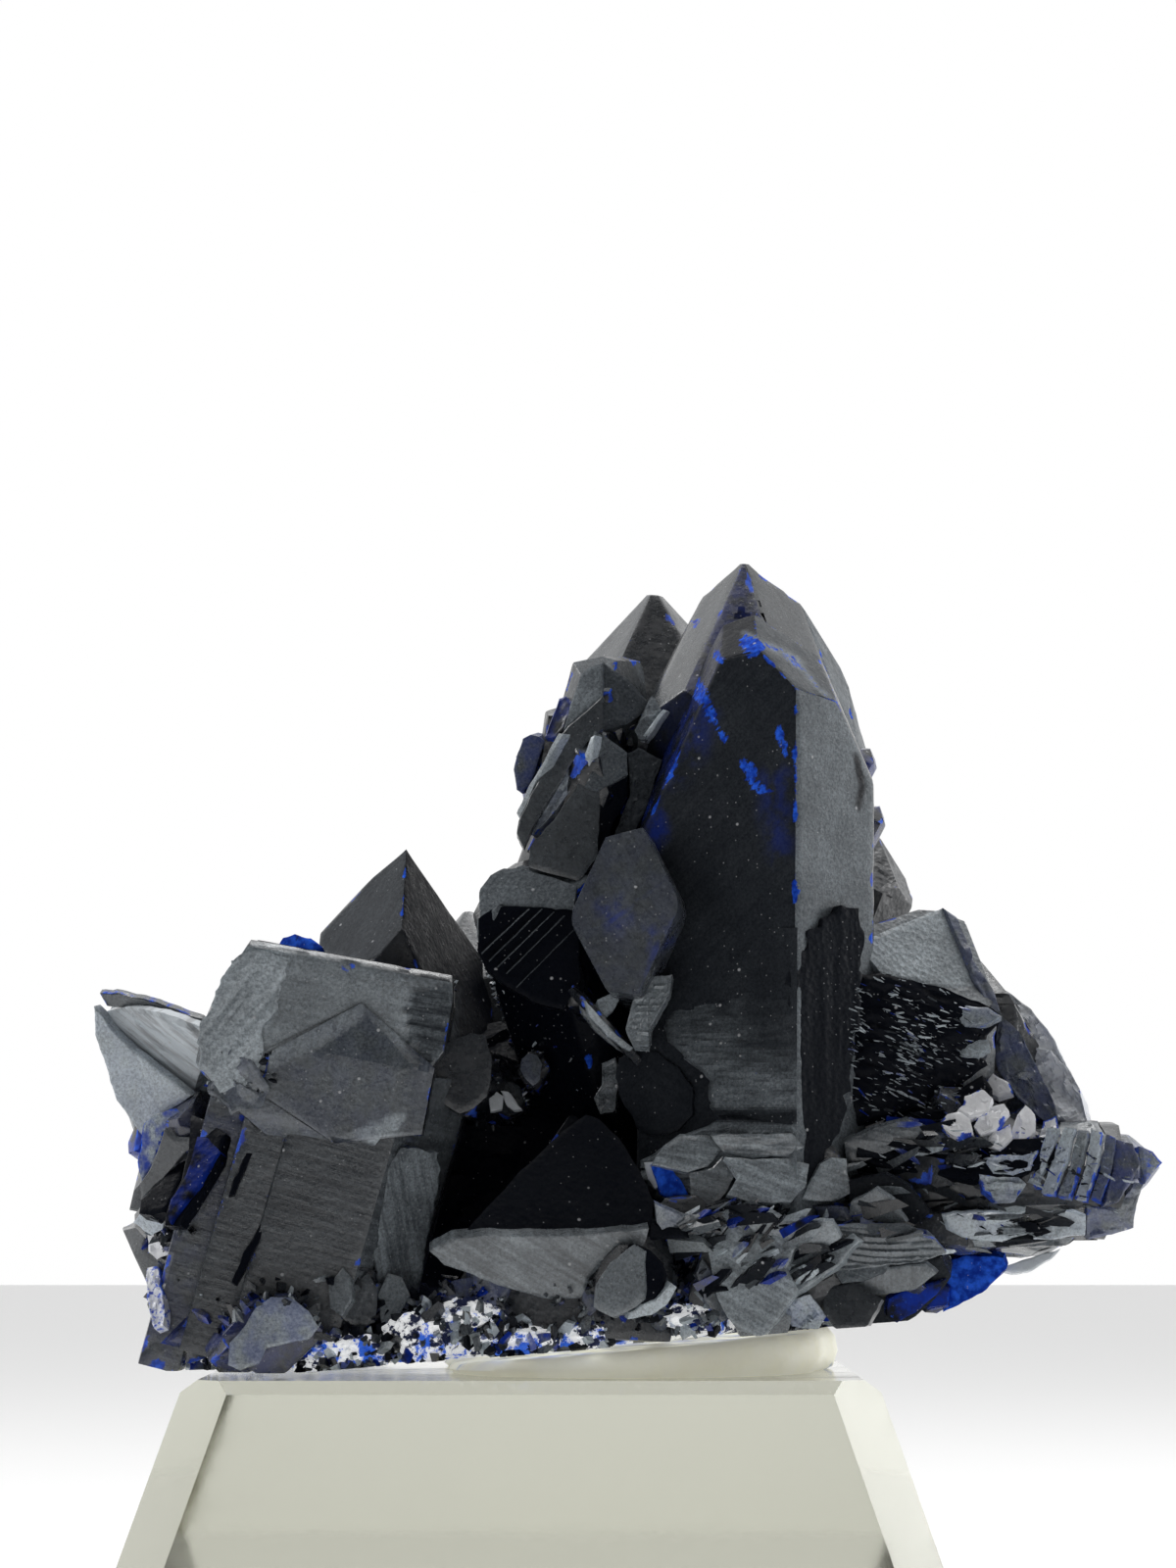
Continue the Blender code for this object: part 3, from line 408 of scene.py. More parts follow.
# the layered foot of the front spire's left face: height, left edge, how much painted light (a silvery
# sheen)
footLayers = ((18.4, 7.2, 0.06), (19.2, 6.2, 0.16), (19.9, 5, 0.13), (20.6, 4.6, 0.11), (21.5, 5, 0.12),
              (22.4, 6.3, 0.12), (23, 7.4, 0.09), (23.25, 7.9, 0.015), (23.6, 7.9, 0.02),
              (23.9, 7.8, 0.08), (24.6, 7.7, 0.09), (25.3, 7.5, 0.1), (26.1, 6.6, 0.09),
              (26.8, 5.7, 0.085), (27.5, 5.4, 0.07), (28.4, 5.8, 0.05), (29.4, 6.3, 0.035),
              (30.6, 6.8, 0.02), (31.8, 7.4, 0.012))
footShape = {"corner": (1.62, -4.62), "slopes": (0.33, 0.6), "blend": (23.5, 30),
             "cell": 0.11, "groove": 23.4, "depth": 3.2, "stepsEnd": (25, 30.5), "chipsEnd": (22.6, 23.6),
             "darkFrom": (7.5, 10.5), "darkAbove": (24.5, 27), "ends": (0.66, 0.33, 0)}
wingStepShape = {"count": 5, "foot": (17.5, -5.4, 20.5), "tip": (26.8, -6, 20.55), "run": 0.95,
                 "width": (5.2, -0.34), "depth": (8.2, 0.3)}
rimShape = {"count": 72, "radii": (12.3, 9.8), "length": (2.6, 4.2), "width": (0.9, 2.3),
            "height": (-0.1, 1.3), "habits": ("chisel", "block", "spire", "lozenge", "blade")}
coreShape = {"centre": (1, 3.5, 20.5), "radii": (14, 8, 7.5), "cell": 0.45}


def wingSteps():
    # growth layers on the end of the right wing, each ending short of the one below it
    rng = random.Random(5)
    specs = {}
    for i in range(wingStepShape["count"]):
        x, y, z = wingStepShape["tip"]
        tip = (x - wingStepShape["run"] * i - rng.uniform(0, 0.3), y + rng.uniform(-0.1, 0.1), z + 0.08 * i)
        width, wider = wingStepShape["width"]
        depth, deeper = wingStepShape["depth"]
        specs[f"wingStep{i + 1}"] = (wingStepShape["foot"], tip, width + wider * i, depth + deeper * i,
                                     "step", rng.uniform(-4, 4))
    return specs


def rimCrystals():
    # small crystals crowded round the foot, pointing out in a ragged row
    rng = random.Random(23)
    specs = {}
    for i in range(rimShape["count"]):
        angle = 2 * math.pi * (i + rng.uniform(-0.45, 0.45)) / rimShape["count"]
        x, y = rimShape["radii"][0] * math.cos(angle), rimShape["radii"][1] * math.sin(angle)
        heading = angle + rng.uniform(-0.5, 0.5)
        out = np.array((math.cos(heading), math.sin(angle) * 0.9, rng.uniform(-0.1, 0.5)))
        out /= np.linalg.norm(out)
        foot = np.array((x, y, seat["height"] + seat["rise"] * x + rng.uniform(*rimShape["height"])))
        tip = foot + out * rng.uniform(*rimShape["length"])
        width = rng.uniform(*rimShape["width"])
        depth = width * rng.uniform(0.6, 1.6)
        roll = rng.uniform(-60, 60)
        specs[f"rim{i + 1}"] = (foot, tip, width, depth, rng.choice(rimShape["habits"]), roll)
    return specs


def crystalFaces(foot, tip, width, depth, habit, roll=0):
    # a crystal's faces as unit normals and distances from the foot, in its own axes, with names
    foot, tip = np.array(foot, float), np.array(tip, float)
    axis = tip - foot
    length = np.linalg.norm(axis)
    axis /= length
    right = np.cross((0.0, 1.0, 0.0), axis)
    if np.linalg.norm(right) < 0.5:  # it points at the viewer
        right = np.array((1.0, 0.0, 0.0))
    right = right - axis * (right @ axis)
    right /= np.linalg.norm(right)
    turn = math.radians(roll)
    right = right * math.cos(turn) + np.cross(axis, right) * math.sin(turn)
    front = np.cross(right, axis)
    normals = [(1, 0, 0), (0, 1, 0), (-1, 0, 0), (0, -1, 0), (0, 0, 1), (0, 0, -1)]
    reach = [1, 1, 1, 1, 1, 0]
    names = ["right", "front", "left", "back", "end", "base"]
    cuts = habits[habit]
    for around, out in cuts.get("sides", ()):
        angle = math.radians(around)
        normals.append((math.cos(angle), math.sin(angle), 0))
        reach.append(out)
        names.append(f"side {around}")
    for kind, sign in (("tips", 1), ("feet", -1)):
        for around, atAxis, atSide in cuts.get(kind, ()):
            angle = math.radians(around)
            slope = sign * (atAxis - atSide)
            normals.append((slope * math.cos(angle), slope * math.sin(angle), sign))
            reach.append(sign * atAxis)
            names.append(f"{kind[:-1] if kind == 'tips' else 'foot'} {around}")
    normals = np.array(normals, float) / np.array((width / 2, depth / 2, length))
    size = np.linalg.norm(normals, axis=1)
    axes = np.stack([right, front, axis])
    return foot, axes, normals / size[:, None], np.array(reach, float) / size, names


def solidCorners(normals, reach):
    # every corner where three faces of a convex solid meet
    picks = np.array([(i, j, k) for i in range(len(reach)) for j in range(i) for k in range(j)])
    sets, limits = normals[picks], reach[picks]
    good = np.abs(np.linalg.det(sets)) > 1e-5
    spots = np.linalg.solve(sets[good], limits[good][..., None])[..., 0]
    return spots[(spots @ normals.T <= reach + 1e-6).all(axis=1)]


def outlines(flat, limit):
    # the outline of a convex solid at many heights: for each height and each face, the two ends of
    # its stretch, both on the nearest corner where the face isn't present
    along = np.stack([-flat[:, 1], flat[:, 0]], axis=1)
    turn, same = flat @ along.T, flat @ flat.T
    room = limit[:, :, None] - limit[:, None, :] * same[None]
    crossing = room / np.where(np.abs(turn) < 1e-7, 1.0, turn)[None]
    high = np.where(turn > 1e-7, crossing, np.inf).min(axis=1)
    low = np.where(turn < -1e-7, crossing, -np.inf).max(axis=1)
    apart = (np.abs(turn) <= 1e-7) & ~np.eye(len(flat), dtype=bool)
    present = (high > low) & ~(apart[None] & (room < -1e-9)).any(axis=1)
    high, low = np.where(present, high, 0), np.where(present, low, 0)
    foot = flat[None] * limit[..., None]
    starts, ends = foot + along[None] * low[..., None], foot + along[None] * high[..., None]
    score = np.einsum("kd,rjd->rkj", flat, starts)
    score = np.where(present[:, None, :], score, -np.inf)
    best = score.argmax(axis=2)
    corner = np.take_along_axis(starts, best[..., None], axis=1)
    return np.where(present[..., None], starts, corner), np.where(present[..., None], ends, corner)


def crystalGrid(spec, cell):
    # a crystal as rings of points from foot to tip, running round its faces, closed at both ends
    # by rings that shrink to the middle
    foot, axes, normals, reach, names = crystalFaces(*spec)
    spots = solidCorners(normals, reach)
    bottom, top = spots[:, 2].min(), spots[:, 2].max()
    level = np.abs(normals[:, 2]) > 0.99999
    ring = [i for i in np.argsort(np.arctan2(normals[:, 1], normals[:, 0])) if not level[i]]
    tilt = np.linalg.norm(normals[ring, :2], axis=1)
    flat, climb, far = normals[ring, :2] / tilt[:, None], normals[ring, 2] / tilt, reach[ring] / tilt
    skin = 1e-4
    rows = np.concatenate([np.arange(bottom, top, cell), spots[:, 2], [top]])
    rows = np.unique(np.round(np.clip(rows, bottom + skin, top - skin), 4))
    starts, ends = outlines(flat, far[None] - rows[:, None] * climb[None])
    spans = np.linalg.norm(ends - starts, axis=2).max(axis=0)
    kept = spans > 0.02
    counts = np.maximum(np.ceil(spans[kept] / cell).astype(int), 1)
    faces = np.repeat(np.array(ring)[kept], counts)
    share = np.concatenate([np.arange(n) / n for n in counts])
    pick = np.repeat(np.nonzero(kept)[0], counts)
    flatPoints = starts[:, pick] + (ends - starts)[:, pick] * share[None, :, None]
    points = np.concatenate([flatPoints, np.repeat(rows[:, None, None], len(pick), axis=1)], axis=2)
    owner = np.repeat(faces[None], len(rows), axis=0)
    endFace, baseFace = names.index("end"), names.index("base")
    for atTop in (True, False):
        edge = points[-1 if atTop else 0]
        middle = edge.mean(axis=0)
        wide = np.linalg.norm(edge - middle, axis=1).max()
        steps = max(int(np.ceil(wide / cell / (1 if atTop else 3))), 1)
        shrink = (1 - np.arange(1, steps + 1) / steps)[:, None, None]
        rings = middle + (edge - middle)[None] * shrink
        cap = np.full((steps, len(pick)), endFace if atTop else baseFace)
        if atTop:
            points, owner = np.concatenate([points, rings]), np.concatenate([owner, cap])
        else:
            points, owner = np.concatenate([rings[::-1], points]), np.concatenate([cap, owner])
    return foot, axes, normals, reach, names, points, owner


def relief(kind, flat, place, seed):
    # how far a face stands in or out at each point: flat is the place on the face, place is in space
    if kind == "smooth":  # faint waves and a few low growth hills
        hills = smoothStep(layeredNoise(place / 1.5, 2, seed), 0.45, 0.7)
        return 0.012 * layeredNoise(place / 2.4, 3, seed) + 0.014 * hills
    if kind == "stepped":  # terraces with soft risers
        level = 2.6 * layeredNoise(place / np.array((2.2, 2.2, 3.4)), 2, seed)
        step = np.floor(level) + smoothStep(level % 1, 0.0, 0.2)
        return 0.1 * step + 0.015 * layeredNoise(place / 0.6, 2, seed)
    if kind == "furrowed":  # ridges along the face
        lines = np.stack([flat[:, 0] / 0.42, flat[:, 1] / 5.0, np.full(len(flat), seed * 0.37)], axis=1)
        return 0.07 * layeredNoise(lines, 3, seed)
    if kind == "ribbed":  # fine steps across the face
        lines = np.stack([flat[:, 1] / 0.35, flat[:, 0] / 9.0, np.full(len(flat), seed * 0.37)], axis=1)
        return 0.010 * layeredNoise(lines, 2, seed) + 0.015 * layeredNoise(place / 1.4, 2, seed)
    if kind == "layered":  # plates a few tenths thick, lying nearly level, each edge wandering in and out
        level = place[:, 2] / 0.30 + 0.1 * place[:, 0] + 0.9 * layeredNoise(place / 2.5, 2, seed)
        own = np.stack([place[:, 0] / 1.1, np.floor(level) * 5.7, level * 0 + seed * 0.37], axis=1)
        plates = (0.16 * layeredNoise(own, 2, seed) - 0.12) * smoothStep(level % 1, 0.0, 0.3)
        return plates + 0.03 * layeredNoise(place / 0.5, 2, seed)
    if kind == "fibrous":  # fine uneven layers, nearly level
        lines = np.stack([place[:, 0] / 1.1, place[:, 2] / 0.24 + 0.6 * layeredNoise(place / 1.8, 2, seed),
                          place[:, 2] * 0 + seed * 0.37], axis=1)
        return 0.09 * layeredNoise(lines, 3, seed) + 0.04 * layeredNoise(place / 0.8, 2, seed)
    if kind == "broken":  # tilted chips of two sizes
        offset, own = brokenCells(flat / 1.2, seed)
        small, smallOwn = brokenCells(flat / 0.45, seed + 9)
        return 0.26 * (own * offset).sum(axis=1) + 0.09 * (smallOwn * small).sum(axis=1) - 0.06
    if kind == "sugary":  # crowded grains
        offset, own = brokenCells(flat / 0.34, seed)
        domed = 1 - 2 * (offset ** 2).sum(axis=1)
        return 0.09 * (own * offset).sum(axis=1) + 0.05 * own[:, 0] * domed - 0.04
    if kind == "glitter":  # short bright steps running down the face, breaking off and on
        lines = np.stack([flat[:, 1] / 0.38, flat[:, 0] / 1.3, np.full(len(flat), seed * 0.37)], axis=1)
        steps = layeredNoise(lines, 3, seed)
        return 0.16 * np.sign(steps) * np.abs(steps) ** 0.6 + 0.12 * layeredNoise(place / 1.6, 2, seed)
    raise ValueError(kind)


markWords = ("haze", "grain", "stripe", "tint", "dull")
usualMarks = (0.1, 0.2, 0.0, 0.0, 0)
wearShape = {"rounded": 0.05, "roundedFor": 0.07, "chippedFor": 0.22, "blueFor": 0.1, "faded": 0.35}
grown = []  # the places and squares of the crystals made so far


def faceMarks(made):
    return [made.get(word, usual) for word, usual in zip(markWords, usualMarks)]


def seatLimit(x):
    # the lowest that a crystal may reach, by how far right it is
    return np.maximum(seat["height"] - seat["rock"] + seat["rise"] * x, seat["lowest"])


def liftToSeat(place):
    place[:, 2] = np.maximum(place[:, 2], seatLimit(place[:, 0]))


def joinParts(parts):
    # one set of arrays from many: the squares of each part count on from the points before it
    offset, moved = 0, []
    for part in parts:
        moved.append((part[0], part[1] + offset, *part[2:]))
        offset += len(part[0])
    return [np.concatenate(arrays) for arrays in zip(*moved)]


def ringSquares(rows, around, inwards=False):
    # the squares between each closed ring of points and the next
    start = np.arange(rows - 1)[:, None] * around + np.arange(around)[None]
    after = np.arange(rows - 1)[:, None] * around + (np.arange(around)[None] + 1) % around
    squares = np.stack([start, after, after + around, start + around], axis=-1).reshape(-1, 4)
    return squares[:, ::-1] if inwards else squares


def oneCrystal(spec, cell, finishAndLight, faceFinishAndLight, seed):
    # points, squares and marks of one crystal, its faces worked to their relief and given their painted
    # light and shade, and its edges worn
    foot, axes, normals, reach, names, points, owner = crystalGrid(spec, cell)
    rows, around = owner.shape
    local, face = points.reshape(-1, 3), owner.reshape(-1)
    slack = reach[None] - local @ normals.T
    slack[np.arange(len(face)), face] = np.inf
    lean = np.clip(normals[face] @ normals.T, -0.999, 0.999)
    edge = np.maximum((slack / np.sqrt(1 - lean ** 2)).min(axis=1), 0)
    place = foot + local @ axes
    side = np.cross(normals, (0.0, 0.0, 1.0))
    side = np.where(np.linalg.norm(side, axis=1)[:, None] < 1e-5, (1.0, 0.0, 0.0), side)
    side /= np.linalg.norm(side, axis=1)[:, None]
    up = np.cross(normals, side)
    flat = np.stack([(local * side[face]).sum(axis=1), -(local * up[face]).sum(axis=1)], axis=1)
    height, marks = np.zeros(len(face)), np.zeros((len(names), 5))
    for i, name in enumerate(names):
        made = {**finishAndLight, **faceFinishAndLight.get(name, {})}
        here = face == i
        turned = flat[here] @ turnedAxes(made.get("turn", 0))
        marks[i] = faceMarks(made)
        if here.any():
            work = relief(made.get("kind", "smooth"), turned, place[here], seed + i)
            height[here] = made.get("depth", 1.0) * work
    height *= smoothStep(edge, 0.0, wearShape["faded"])
    inward = -local * (1.0, 1.0, 0.0)
    size = np.linalg.norm(inward, axis=1)[:, None]
    inward = inward / np.maximum(size, 1e-6) * np.minimum(size, 0.4) / 0.4
    wear = np.maximum(layeredNoise(place / 0.9, 3, 5) - finishAndLight.get("whole", 0.25), 0)
    chip = finishAndLight.get("chips", 0.35) * wear * np.exp(-edge / wearShape["chippedFor"])
    worn = chip + wearShape["rounded"] * np.exp(-edge / wearShape["roundedFor"])
    local = local + normals[face] * height[:, None] + inward * worn[:, None]
    place = foot + local @ axes
    liftToSeat(place)
    faint = np.exp(-edge / wearShape["blueFor"]) * smoothStep(layeredNoise(place / 1.7, 2, 77), 0.0, 0.6)
    blue = np.clip(smoothStep(chip, 0.02, 0.07) + 0.5 * faint, 0, 1) * finishAndLight.get("worn", 1.0)
    squares = ringSquares(rows, around, True)
    caps = (owner == names.index("end")) | (owner == names.index("base"))
    belongs = np.where(caps[1:] & ~caps[:-1] & (owner[1:] != owner[:-1]), owner[1:], owner[:-1])
    belongs = np.where(caps[:-1] & ~caps[1:], owner[:-1], belongs).reshape(-1)
    spread = np.stack([(local[squares] * side[belongs][:, None]).sum(axis=2),
                       -(local[squares] * up[belongs][:, None]).sum(axis=2)], axis=2)
    for i, name in enumerate(names):
        turn = {**finishAndLight, **faceFinishAndLight.get(name, {})}.get("turn", 0)
        if turn:
            spread[belongs == i] = spread[belongs == i] @ turnedAxes(turn)
    return place, squares, marks[belongs], blue, spread + seed * 0.731


def evenOutline(ends, cell):
    # an outline's corners with even points between them
    after = np.roll(ends, -1, axis=0)
    counts = np.maximum(np.ceil(np.linalg.norm(after - ends, axis=1) / cell).astype(int), 1)
    share = np.concatenate([np.arange(n) / n for n in counts])[:, None]
    start, end = np.repeat(ends, counts, axis=0), np.repeat(after, counts, axis=0)
    return start + (end - start) * share


eye = np.array((camera["x"], -camera["distance"], camera["height"]))


def sightLines(points):
    # from the camera through points of its picture
    across, down = ((points - camera["imageMiddle"]) * camera["mmPerPixel"]).T
    return np.stack([camera["x"] + across, across * 0, camera["lookHeight"] - down], axis=1) - eye


def inPicture(place):
    # the points of the camera's picture where places are seen
    away = place - eye
    flat = away * (camera["distance"] / away[:, 1:2]) + eye
    across, down = flat[:, 0] - camera["x"], camera["lookHeight"] - flat[:, 2]
    return np.stack([across, down], axis=1) / camera["mmPerPixel"] + camera["imageMiddle"]


def insideBy(points, outline):
    # how far each point lies inside an outline, below zero outside: the distance to the nearest
    # edge, its sign from how many edges a line to the right crosses
    after = np.roll(outline, -1, axis=0)
    run = after - outline
    near = points[:, None] - outline
    share = np.clip((near * run).sum(axis=2) / (run ** 2).sum(axis=1), 0, 1)
    far = np.linalg.norm(near - run * share[..., None], axis=2).min(axis=1)
    spans = (outline[:, 1] > points[:, 1:]) != (after[:, 1] > points[:, 1:])
    rise = np.where(run[:, 1] == 0, 1e-9, run[:, 1])
    right = points[:, :1] < outline[:, 0] + (points[:, 1:] - outline[:, 1]) * run[:, 0] / rise
    return np.where((spans & right).sum(axis=1) % 2 == 1, far, -far)


def facetPlane(facet):
    # a facet's plane as depth, slope across and slope up: "y" and "slope" where they are given, and
    # otherwise the plane nearest to the crystals behind its outline, "lift" in front of them
    share, outline = (np.arange(9) + 0.5) / 9, facet["outline"]
    low, high = outline.min(axis=0), outline.max(axis=0)
    samples = np.stack(np.meshgrid(share, share), axis=-1).reshape(-1, 2) * (high - low) + low
    lines = sightLines(samples[insideBy(samples, outline) > 0])
    found = [carrier.ray_cast(eye, line)[0] for line in lines]
    hits = np.array([tuple(hit) for hit in found if hit is not None]).reshape(-1, 3)
    slopes = np.array(facet.get("slope", (0.0, 0.0)), float)
    if "slope" not in facet and len(hits) > 5:
        near = np.ones(len(hits), bool)
        for _ in range(4):
            flat = np.stack([hits[:, 0] * 0 + 1, hits[:, 0], hits[:, 2]], axis=1)
            fit = np.linalg.lstsq(flat[near], hits[near, 1], rcond=None)[0]
            slopes = np.clip(fit[1:], -0.6, 0.6)
            miss = hits[:, 1] - flat @ fit
            near = miss <= max(0.35, np.percentile(miss, 75))
    if "y" in facet:
        line = sightLines(outline.mean(axis=0)[None])[0]
        middle = eye + line * ((facet["y"] - eye[1]) / line[1])
        return facet["y"] - slopes @ middle[[0, 2]], *slopes
    return np.percentile(hits[:, 1] - hits[:, ::2] @ slopes, 15) - facet.get("lift", 0.35), *slopes


def oneFacet(facet, cell, seed):
    # a thin crystal plate over an outline seen from the front: rings from its middle to its rim,
    # over the rim and back to the middle behind
    cell = facet.get("cell", cell if "kind" in facet else 1.5 * cell)
    depth, across, upward = facetPlane(facet)
    lines = sightLines(facet["outline"])
    reach = (depth + across * eye[0] + upward * eye[2] - eye[1]) / (lines @ (-across, 1.0, -upward))
    rim = evenOutline((eye + lines * reach[:, None])[:, ::2], cell)
    far = np.stack([rim[:, 0], rim[:, 1], rim[:, 0] * 0], axis=1) / 0.5
    wander = np.stack([layeredNoise(far, 2, seed), layeredNoise(far, 2, seed + 5)], axis=1)
    rim = rim + facet.get("ragged", 0.06) * wander
    middle = rim.mean(axis=0)
    span = np.linalg.norm(rim - middle, axis=1)
    steps = max(int(np.ceil(span.max() / cell)), 2)
    share = np.concatenate([np.arange(steps + 1) / steps, np.linspace(1, 0, 4)])
    behind = np.concatenate([np.zeros(steps + 1), np.ones(4)])
    flat = middle + (rim - middle)[None] * share[:, None, None]
    towards = np.array((across, -1.0, upward))  # out of the plate's face
    towards /= np.linalg.norm(towards)
    y = depth + across * flat[..., 0] + upward * flat[..., 1]
    place = np.stack([flat[..., 0], y, flat[..., 1]], axis=-1)
    edge = ((1 - share)[:, None] * span[None]) * (1 - behind)[:, None]
    spread = ((flat - middle) @ turnedAxes(facet.get("turn", 0)).T).reshape(-1, 2)
    out = facet.get("depth", 1.0) * relief(facet.get("kind", "smooth"), spread, place.reshape(-1, 3), seed)
    out = out.reshape(y.shape) * smoothStep(edge, 0.0, 0.25)
    out = out + facet.get("bow", 0.0) * (1 - share ** 2)[:, None] * (1 - behind)[:, None]
    out = out - 0.05 * np.exp(-edge / 0.06) - facet.get("thick", 0.5) * behind[:, None]
    place = (place + towards * out[..., None]).reshape(-1, 3)
    wear = smoothStep(layeredNoise(place / 0.8, 2, 31), -0.2, 0.4)
    atRim = np.exp(-edge / 0.13).reshape(-1)
    blue = np.maximum(facet.get("rim", 0.15) * atRim * wear, facet.get("blue", 0.0))
    after = np.roll(rim, -1, axis=0)
    twiceArea = (rim[:, 0] * after[:, 1] - rim[:, 1] * after[:, 0]).sum()
    squares = ringSquares(len(share), len(rim), twiceArea > 0)
    liftToSeat(place)
    return place, squares, np.tile(faceMarks(facet), (len(squares), 1)), blue, spread[squares] + seed * 0.731


def addPatches(place, squares, marks, blue, patches):
    # patches of painted light and shade and of other marks on the squares that look to the front, fading in
    # over "soft" points of the picture: gives marks for each corner of each square
    marks = np.repeat(marks[:, None], 4, axis=1)
    seen, ends = inPicture(place), place[squares]
    out = np.cross(ends[:, 2] - ends[:, 0], ends[:, 3] - ends[:, 1])
    front = (out[:, 1] < -0.12 * np.linalg.norm(out, axis=1))[:, None]
    for i, patch in enumerate(patches.values()):
        edge = insideBy(seen, patch["outline"])
        edge = edge + patch.get("ragged", 3.0) * layeredNoise(place / 0.5, 3, 50 + i)
        share = smoothStep(edge, -patch.get("soft", 4.0), patch.get("soft", 4.0))
        blue = np.maximum(blue, share * patch.get("blue", 0.0))
        for column, word in enumerate(markWords):
            if word in patch:
                marks[..., column] += (patch[word] - marks[..., column]) * share[squares] * front
    return marks, blue


def makeMesh(name, place, squares, marks=None, blue=None, spread=None, sharp=24, merge=True):
    # one mesh from whole arrays: places in millimetres, squares, marks for each square or corner,
    # blue for each point and a flat map in millimetres
    data = bpy.data.meshes.new(name)
    data.vertices.add(len(place))
    data.vertices.foreach_set("co", (place * mm).astype(np.float32).ravel())
    data.loops.add(squares.size)
    data.loops.foreach_set("vertex_index", squares.astype(np.int32).ravel())
    data.polygons.add(len(squares))
    data.polygons.foreach_set("loop_start", np.arange(0, squares.size, 4, dtype=np.int32))
    data.update(calc_edges=True)
    if marks is not None:
        marks = np.repeat(marks[:, None], 4, axis=1) if marks.ndim == 2 else marks
        for column, word in enumerate(markWords[:4]):
            data.attributes.new(word, "FLOAT", "CORNER").data.foreach_set(
                "value", marks[..., column].astype(np.float32).ravel())
        data.polygons.foreach_set("material_index", (marks[..., 4].mean(axis=1) > 0.5).astype(np.int32))
    if blue is not None:
        data.attributes.new("blue", "FLOAT", "POINT").data.foreach_set("value", blue.astype(np.float32))
    if spread is not None:
        data.uv_layers.new(name="flat").data.foreach_set("uv", spread.astype(np.float32).ravel())
    if merge:
        shape = bmesh.new()
        shape.from_mesh(data)
        bmesh.ops.remove_doubles(shape, verts=shape.verts, dist=2e-7)
        shape.to_mesh(data)
        shape.free()
    data.shade_smooth()
    data.set_sharp_from_angle(angle=math.radians(sharp))
    return data


def addPiece(name, data, node, *materials):
    piece = addObject(name, data)
    for material in materials:
        data.materials.append(material)
    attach(piece, "root")
    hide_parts(node)
    print(f"{name}: {sum(len(p.vertices) - 2 for p in data.polygons)} triangles")


def addCrystals(name, data):
    addPiece(name, data, "azurite_crystals", azurite, dullAzurite)


def growCrystals(name, crystals, look):
    # one piece of grown-together crystals; look holds a cell size, the surface and painted light for all
    # ("finishAndLight"), changes to it for each crystal ("each") and for single faces of one ("faces"), and
    # "patches" of painted light and shade and other marks over them
    parts = []
    for i, (word, spec) in enumerate(crystals.items()):
        finishAndLight = {**look["finishAndLight"], **look.get("each", {}).get(word, {})}
        faces = look.get("faces", {}).get(word, {})
        cell = finishAndLight.get("cell", look["cell"])
        parts.append(oneCrystal(spec, cell, finishAndLight, faces, look["seed"] + 31 * i))
    place, squares, marks, blue, spread = joinParts(parts)
    grown.append((place, squares))
    marks, blue = addPatches(place, squares, marks, blue, look.get("patches", {}))
    addCrystals(name, makeMesh(name, place, squares, marks, blue, spread))


def layFacets(name, facets, cell, seed):
    # one piece of thin plates laid on the crystals made so far
    parts = [oneFacet(facet, cell, seed + 13 * i) for i, facet in enumerate(facets.values())]
    addCrystals(name, makeMesh(name, *joinParts(parts)))

# materials


def objectCoords(tree):
    return tree.nodes.new("ShaderNodeTexCoord").outputs["Object"]


def attribute(tree, word):
    return addNode(tree, "ShaderNodeAttribute", {"attribute_name": word}).outputs["Fac"]


def newGroup(name, inputs, outputs):
    group = bpy.data.node_groups.new(name, "ShaderNodeTree")
    for word, kind, value in inputs:
        socket = group.interface.new_socket(name=word, in_out="INPUT", socket_type=kind)
        if value is not None:
            socket.default_value = value
    for word, kind in outputs:
        group.interface.new_socket(name=word, in_out="OUTPUT", socket_type=kind)
    return group, group.nodes.new("NodeGroupInput").outputs, group.nodes.new("NodeGroupOutput").inputs


def useGroup(tree, group, **values):
    return addNode(tree, "ShaderNodeGroup", {"node_tree": group}, **values).outputs


def makeDustGroup():
    # pale specks: small round dots scattered where a broad noise is high
    group, given, out = newGroup("fine dust", (("Place", "NodeSocketVector", None),
                                               ("Per Millimetre", "NodeSocketFloat", 5.0),
                                               ("Amount", "NodeSocketFloat", 0.3)),
                                 (("Specks", "NodeSocketFloat"),))
    scale = maths(group, "MULTIPLY", given["Per Millimetre"], 1 / mm)
    dots = addNode(group, "ShaderNodeTexVoronoi", {}, Vector=given["Place"], Scale=scale)
    dot = ramp(group, dots.outputs["Distance"], 0.10, 0.24, 1.0, 0.0)
    luck = addNode(group, "ShaderNodeSeparateColor", {}, Color=dots.outputs["Color"]).outputs[0]
    patch = ramp(group, noiseAt(group, given["Place"], 0.35, 2.0), 0.38, 0.66)
    share = maths(group, "MULTIPLY", given["Amount"], maths(group, "ADD", patch, 0.25))
    chosen = maths(group, "LESS_THAN", luck, share)
    group.links.new(maths(group, "MULTIPLY", dot, chosen), out["Specks"])
    return group


def makeScratchGroup():
    # fine lines along the flat map, with breaks, as a height
    group, given, out = newGroup("growth lines", (("Flat", "NodeSocketVector", None),
                                                  ("Per Millimetre", "NodeSocketFloat", 3.0)),
                                 (("Height", "NodeSocketFloat"),))
    split = addNode(group, "ShaderNodeSeparateXYZ", {}, in0=given["Flat"])
    across = maths(group, "MULTIPLY", split.outputs[0], given["Per Millimetre"])
    along = maths(group, "MULTIPLY", split.outputs[1], 0.22)
    join = addNode(group, "ShaderNodeCombineXYZ", {}, X=across, Y=along).outputs[0]
    lines = addNode(group, "ShaderNodeTexNoise", {}, Vector=join, Scale=1.0, Detail=4.0, Roughness=0.65)
    group.links.new(lines.outputs[0], out["Height"])
    return group


dustGroup, lineGroup = makeDustGroup(), makeScratchGroup()
